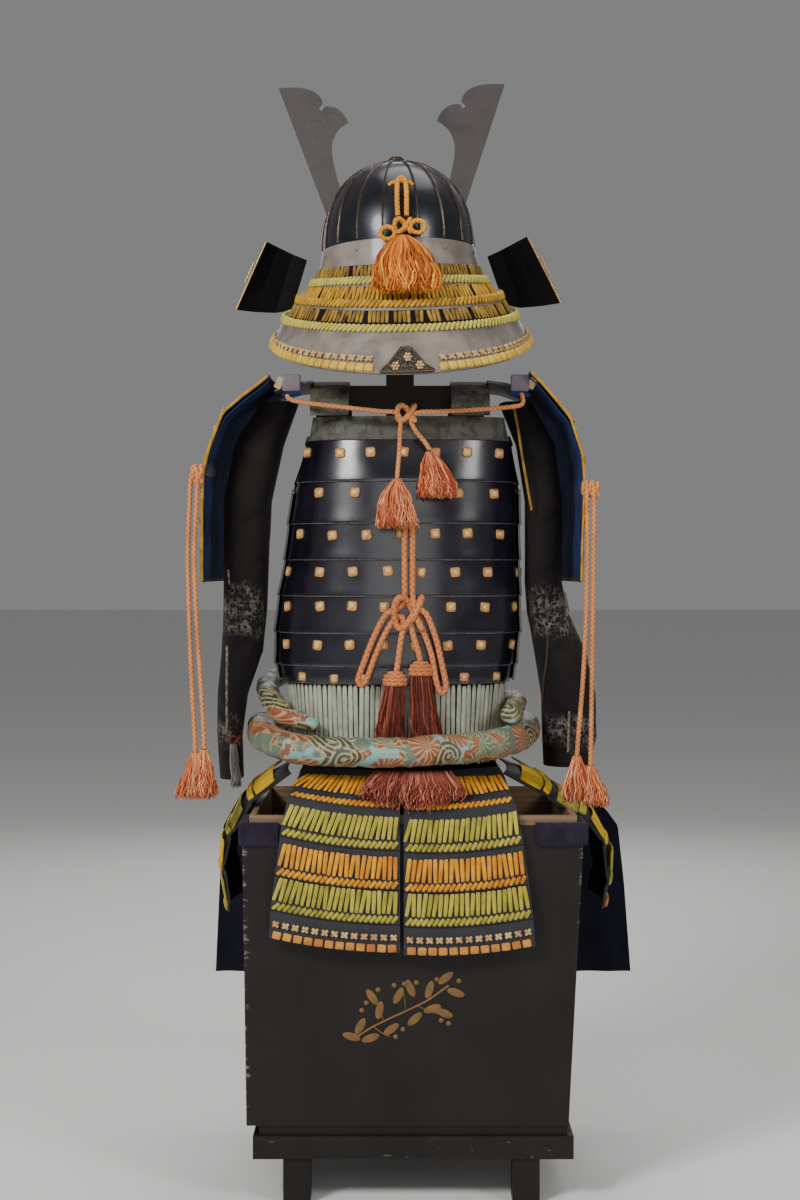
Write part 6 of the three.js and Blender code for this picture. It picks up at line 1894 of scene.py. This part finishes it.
class ARMOUR_OT_sash(bpy.types.Operator):
    """Adds the padded sash of figured silk round the waist, with its two ends"""

    bl_idname = "armour.sash"
    bl_label = "Sash"

    def execute(self, context):
        seam = 0.0015
        runs = {
            "sash_back": [Vector(sash_point(a)) for a in steps(math.pi * (1 + seam), math.pi * (2 - seam), 90)],
            "sash_front": [Vector(sash_point(a)) for a in steps(math.pi * seam, math.pi * (1 - seam), 90)],
        }
        for n, (name, line) in enumerate(runs.items()):
            self.stretch(name, line, [SASH["radius"] - 1.6] * len(line), n, ends=False)
        for n, (name, rows) in enumerate(SASH_ENDS.items()):
            line = smooth_path([(row["x"], row["y"], row["z"]) for row in rows], 6)
            runs_at = run_at(line)
            knots = [min(range(len(line)), key=lambda i, r=row: (line[i] - Vector((r["x"], r["y"], r["z"]))).length)
                     for row in rows]
            radii = list(np.interp(runs_at, runs_at[knots], [row["r"] - 1.4 for row in rows]))
            self.stretch(name, line, radii, n + 4, ends=True)
        return {"FINISHED"}

    def stretch(self, name, line, radii, salt, ends):
        """One stretch of the roll, with uneven creases that cross it on the slant."""
        run = run_at(line)
        grooves, at = [], 9.0
        while at < run[-1] - 6:
            index = len(grooves)
            grooves.append((at, 1.3 + 2.2 * chance(index, salt), 3.4 + 3.4 * chance(index, salt + 1),
                            9 * (chance(index, salt + 2) - 0.5) * 2, TURN * chance(index, salt + 3)))
            at += 13 + 22 * chance(index, salt + 4)
        sides = 40
        rings = []
        for i, ring in enumerate(tube_rings(line, 1.0, sides)):
            centre = line[i]
            radius = radii[i]
            if ends:
                tail = min(run[i], run[-1] - run[i])
                radius *= min(1.0, 0.72 + 0.28 * math.sqrt(min(1.0, tail / 10)))
            moved = []
            for k, p in enumerate(ring):
                turn = TURN * k / sides
                sink = sum(depth * math.exp(-(((run[i] - spot - slant * math.sin(turn + phase)) / reach) ** 2))
                           * (0.45 + 0.55 * math.sin(turn * 0.5 + phase) ** 2)
                           for spot, depth, reach, slant, phase in grooves)
                moved.append(centre + (p - centre) * (radius - sink + 0.8 * math.sin(3 * turn + run[i] / 23)))
            rings.append(moved)
        points = [to_frame(p) for ring in rings for p in ring]
        faces = [(i * sides + k, i * sides + (k + 1) % sides, (i + 1) * sides + (k + 1) % sides, (i + 1) * sides + k)
                 for i in range(len(rings) - 1) for k in range(sides)]
        faces.append(tuple(range(sides - 1, -1, -1)))
        faces.append(tuple(range((len(rings) - 1) * sides, len(rings) * sides)))
        obj = new_object(f"{name}_roll", points, faces)
        with edit_all(obj):
            bpy.ops.mesh.normals_make_consistent(inside=False)
        cushion(obj, 3.0)
        dress(obj, "sash", "sash_brocade", [name])


# ---------------------------------------------------------------- chest and its cloths

class ARMOUR_OT_chest(bpy.types.Operator):
    """Adds the ribbed cloth over the chest's rim, the apron behind it, tie tapes and a gilt sprig"""

    bl_idname = "armour.chest"
    bl_label = "Chest and cloths"

    def execute(self, context):
        paint_nodes(chest_body="chest", chest_base="chest", chest_lip="wood", stand="dark wood", bow_ring="brass")
        self.rim()
        self.apron()
        self.sprig()
        return {"FINISHED"}

    def rim(self):
        """A ribbed cloth that laps over the rim, open at the back's middle."""
        form = RIM_CLOTH
        clear, wall, top, foot = form["clear"], form["wall"], form["top"], form["foot"]
        profile = [(-clear - wall, foot), (-clear - wall - 0.4, foot + 10), (-clear - wall - 0.2, foot + 20),
                   (-clear - wall, top - 3), (-clear - wall + 2.5, top - 0.6), (0.0, top),
                   (form["cover"] - 2, top - 0.3), (form["cover"] - 0.2, top - 2)]
        rows = []
        for inset, z in profile:
            left, right, back, front = chest_rect(z, inset)
            round_by = 6
            corners = [(form["right"], back), (right - round_by, back), (right, back + round_by),
                       (right, front - round_by), (right - round_by, front), (left + round_by, front),
                       (left, front - round_by), (left, back + round_by), (left + round_by, back),
                       (form["left"], back)]
            line, along = [], 0.0
            for i in range(len(corners) - 1):
                a, b = Vector(corners[i]), Vector(corners[i + 1])
                shares = 8 if i in (0, 8) else (4 if (b - a).length < 20 else 110)
                for j in range(shares + (1 if i == len(corners) - 2 else 0)):
                    p = a.lerp(b, j / shares)
                    run = along + (b - a).length * j / shares
                    fullness = 0.5 + 0.5 * chance(int(run / 40))
                    ridge = 1.25 * math.sin(run / 2.9 + 0.8 * math.sin(run / 31)) * fullness
                    outwards = Vector((p.x - (left + right) / 2, p.y - (back + front) / 2)).normalized()
                    p = p + outwards * (ridge if inset < 0 else 0.0)
                    line.append((p.x, p.y, z + (0 if inset < 0 else ridge * 0.5)))
                along += (b - a).length
            rows.append(line)
        cloth = sheet_object("rim_cloth_ribbed", rows, thick=1.6, outside=(0, 900, 500), angle=70)
        dress(cloth, "rim", "apron_cloth", ["rim_cloth"])
        flat_size(rows, 1, 0)

    def apron(self):
        rows = []
        small = table("at slant width depth", (0.08, 30, 0.012, 1.6), (0.2, -40, 0.015, 1.4), (0.36, 25, 0.012, 1.8),
                      (0.52, -20, 0.016, 1.2), (0.7, 35, 0.013, 1.7), (0.84, -30, 0.014, 1.5), (0.95, 10, 0.01, 1.2))
        for z in steps(APRON[-1]["z"], APRON[0]["z"], 40):
            row = row_at(APRON, z)
            hang = (APRON[-1]["z"] - z) / 276
            line = []
            for u in steps(0, 1, 170):
                fold = sum(f["depth"] * math.exp(-(((u - f["at"]) / f["width"]) ** 2)) for f in APRON_FOLDS)
                crease = sum(c["depth"] * math.exp(-(((u - c["at"] - hang / c["slant"]) / c["width"]) ** 2))
                             for c in small)
                line.append((row["left"] + (row["right"] - row["left"]) * u,
                             APRON_Y + fold * (0.25 + 0.75 * hang) - crease * (0.3 + 0.7 * hang), z))
            rows.append(line)
        cloth = sheet_object("apron_hemp", rows, thick=1.4, outside=(0, 900, 400), angle=70)
        dress(cloth, "apron", "apron_cloth", ["apron"])
        tapes = []
        for n, ends in enumerate((((-204, 192, 517), (-211, 192, 498), (-217, 192, 479)),
                                  ((217, 192, 520), (236, 192, 500), (253, 192, 479)))):
            tape = tube_object(f"tape_{n}", smooth_path([Vector(p) for p in ends], 5), 3.4, 6, squash=0.3)
            tapes.append(tape)
        tape = dress(join("apron_tapes", tapes), "tape", "apron_cloth")
        flat_size(rows, 20, 85)

    def sprig(self):
        """A leafy sprig with berries in faded gold lacquer, on the chest's rear face."""
        face = lambda x, z, out: (x, chest_rect(z, 0)[2] - out, z)
        stem = [(-58, 226), (-40, 238), (-16, 250), (10, 262), (38, 276), (66, 296)]
        line = smooth_path([face(x, z, 0.5) for x, z in stem], 4)
        parts = [tube_object("sprig_stem", line, 1.5, 6, squash=0.6)]
        twigs = ((-22, 247, -14, 30), (8, 261, -4, 32), (24, 268, 34, -12), (-36, 240, 22, -14))
        for n, (x, z, dx, dz) in enumerate(twigs):
            ends = (x, z), (x + dx * 0.5, z + dz * 0.62), (x + dx, z + dz)
            twig = smooth_path([face(*end, 0.5) for end in ends], 4)
            parts.append(tube_object(f"sprig_twig_{n}", twig, 1.0, 5, squash=0.6))
        dress(join("sprig_stems", parts), "crest", "chest_lacquer")
        leaf = small_ball((11, 1.4, 25), 8, 10)
        leaves = ((-54, 240, 0.5), (-40, 224, -1.9), (-28, 262, 0.2), (-38, 280, -0.6), (-12, 236, -2.2),
                  (-2, 282, 0.5), (14, 292, -0.4), (20, 250, -2.3), (44, 264, -1.9), (60, 258, -1.2),
                  (40, 290, 0.3), (62, 306, 0.9), (76, 286, 1.9), (-66, 226, -1.3))
        places = [place_on(face, x, z, 0.3, 1, 1, turn=turn) for x, z, turn in leaves]
        dress(many("sprig_leaves", leaf, places), "crest", "chest_lacquer")
        berry = small_ball((7, 3.4, 7))
        berries = ((-46, 272), (-30, 290), (-52, 262), (6, 298), (22, 300), (-8, 296),
                   (56, 248), (66, 244), (-6, 226), (4, 236), (50, 304), (80, 302))
        places = [place_on(face, x, z, 0.6, 1, 1) for x, z in berries]
        dress(many("sprig_berries", berry, places), "crest", "chest_lacquer")


# ---------------------------------------------------------------- stage

class ARMOUR_OT_stage(bpy.types.Operator):
    """Makes the finishes and adds the camera, the plain floor and the studio lights"""

    bl_idname = "armour.stage"
    bl_label = "Stage"

    def execute(self, context):
        scene = context.scene
        make_finishes(scene.armour_colours)
        camera_data = bpy.data.cameras.new("camera")
        camera_data.lens = 60
        camera_data.sensor_width = 36
        camera_data.shift_y = -0.0333
        camera_data.clip_end = 50
        camera = bpy.data.objects.new("camera", camera_data)
        camera.location = to_frame((0, -2900, 874))
        camera.rotation_euler = (math.pi / 2, 0, 0)
        context.collection.objects.link(camera)
        scene.camera = camera
        bpy.ops.object.select_all(action="DESELECT")
        bpy.ops.mesh.primitive_plane_add(size=1, location=(0, 0, 0))
        floor = context.object
        floor.name = "floor"
        floor.scale = (60, 60, 1)
        floor.location = (0, 2.0, -0.0006)
        paint(floor, "floor")
        for name, place, aim, size, watts in (
                ("key", (-2.0, -2.6, 2.6), (0, 0, 0.85), 1.1, 120),
                ("second", (2.2, -2.3, 2.3), (0, 0, 0.9), 1.0, 42),
                ("front fill", (0.0, -3.9, 1.2), (0, 0, 0.7), 2.2, 26),
                ("top", (0.3, 0.4, 3.3), (0, 0, 0.9), 2.0, 30),
                ("behind", (0.0, 3.0, 2.0), (0, 0.4, 0.9), 2.4, 22)):
            data = bpy.data.lights.new(name, "AREA")
            data.shape = "DISK"
            data.size = size
            data.energy = watts
            lamp = bpy.data.objects.new(name, data)
            lamp.location = place
            lamp.rotation_euler = (Vector(aim) - Vector(place)).to_track_quat("-Z", "Y").to_euler()
            context.collection.objects.link(lamp)
        world = bpy.data.worlds.new("studio")
        scene.world = world
        world.use_nodes = True
        backdrop = world.node_tree.nodes["Background"]
        backdrop.inputs["Color"].default_value = (0.93, 0.93, 0.94, 1)
        backdrop.inputs["Strength"].default_value = 0.24
        return {"FINISHED"}


# ---------------------------------------------------------------- panel and start

OPERATORS = (
    ARMOUR_OT_stage, ARMOUR_OT_cords, ARMOUR_OT_helmet, ARMOUR_OT_neck_guard, ARMOUR_OT_cuirass,
    ARMOUR_OT_waist_laces, ARMOUR_OT_skirts, ARMOUR_OT_shoulder_guards, ARMOUR_OT_sleeves, ARMOUR_OT_sash,
    ARMOUR_OT_chest,
)


class ARMOUR_PT_sidebar(bpy.types.Panel):
    """Lists the pieces of the armour and the settings that they use"""

    bl_idname = "ARMOUR_PT_sidebar"
    bl_label = "Samurai armour"
    bl_space_type = "VIEW_3D"
    bl_region_type = "UI"
    bl_category = "Armour"

    def draw(self, context):
        layout = self.layout
        for group in (context.scene.armour_colours, context.scene.armour_sizes):
            box = layout.box()
            for key in group.__annotations__:
                box.prop(group, key)
        for operator in OPERATORS:
            layout.operator(operator.bl_idname)


CLASSES = (ArmourColours, ArmourSizes, *OPERATORS, ARMOUR_PT_sidebar)


def register():
    for item in CLASSES:
        bpy.utils.register_class(item)
    bpy.types.Scene.armour_colours = bpy.props.PointerProperty(type=ArmourColours)
    bpy.types.Scene.armour_sizes = bpy.props.PointerProperty(type=ArmourSizes)


def unregister():
    del bpy.types.Scene.armour_sizes
    del bpy.types.Scene.armour_colours
    for item in reversed(CLASSES):
        bpy.utils.unregister_class(item)


def main():
    register()
    bpy.ops.armour.stage()
    bpy.ops.armour.cords()
    bpy.ops.armour.helmet()
    bpy.ops.armour.neck_guard()
    bpy.ops.armour.cuirass()
    bpy.ops.armour.waist_laces()
    bpy.ops.armour.skirts()
    bpy.ops.armour.shoulder_guards()
    bpy.ops.armour.sleeves()
    bpy.ops.armour.sash()
    bpy.ops.armour.chest()


if __name__ == "__main__":
    main()
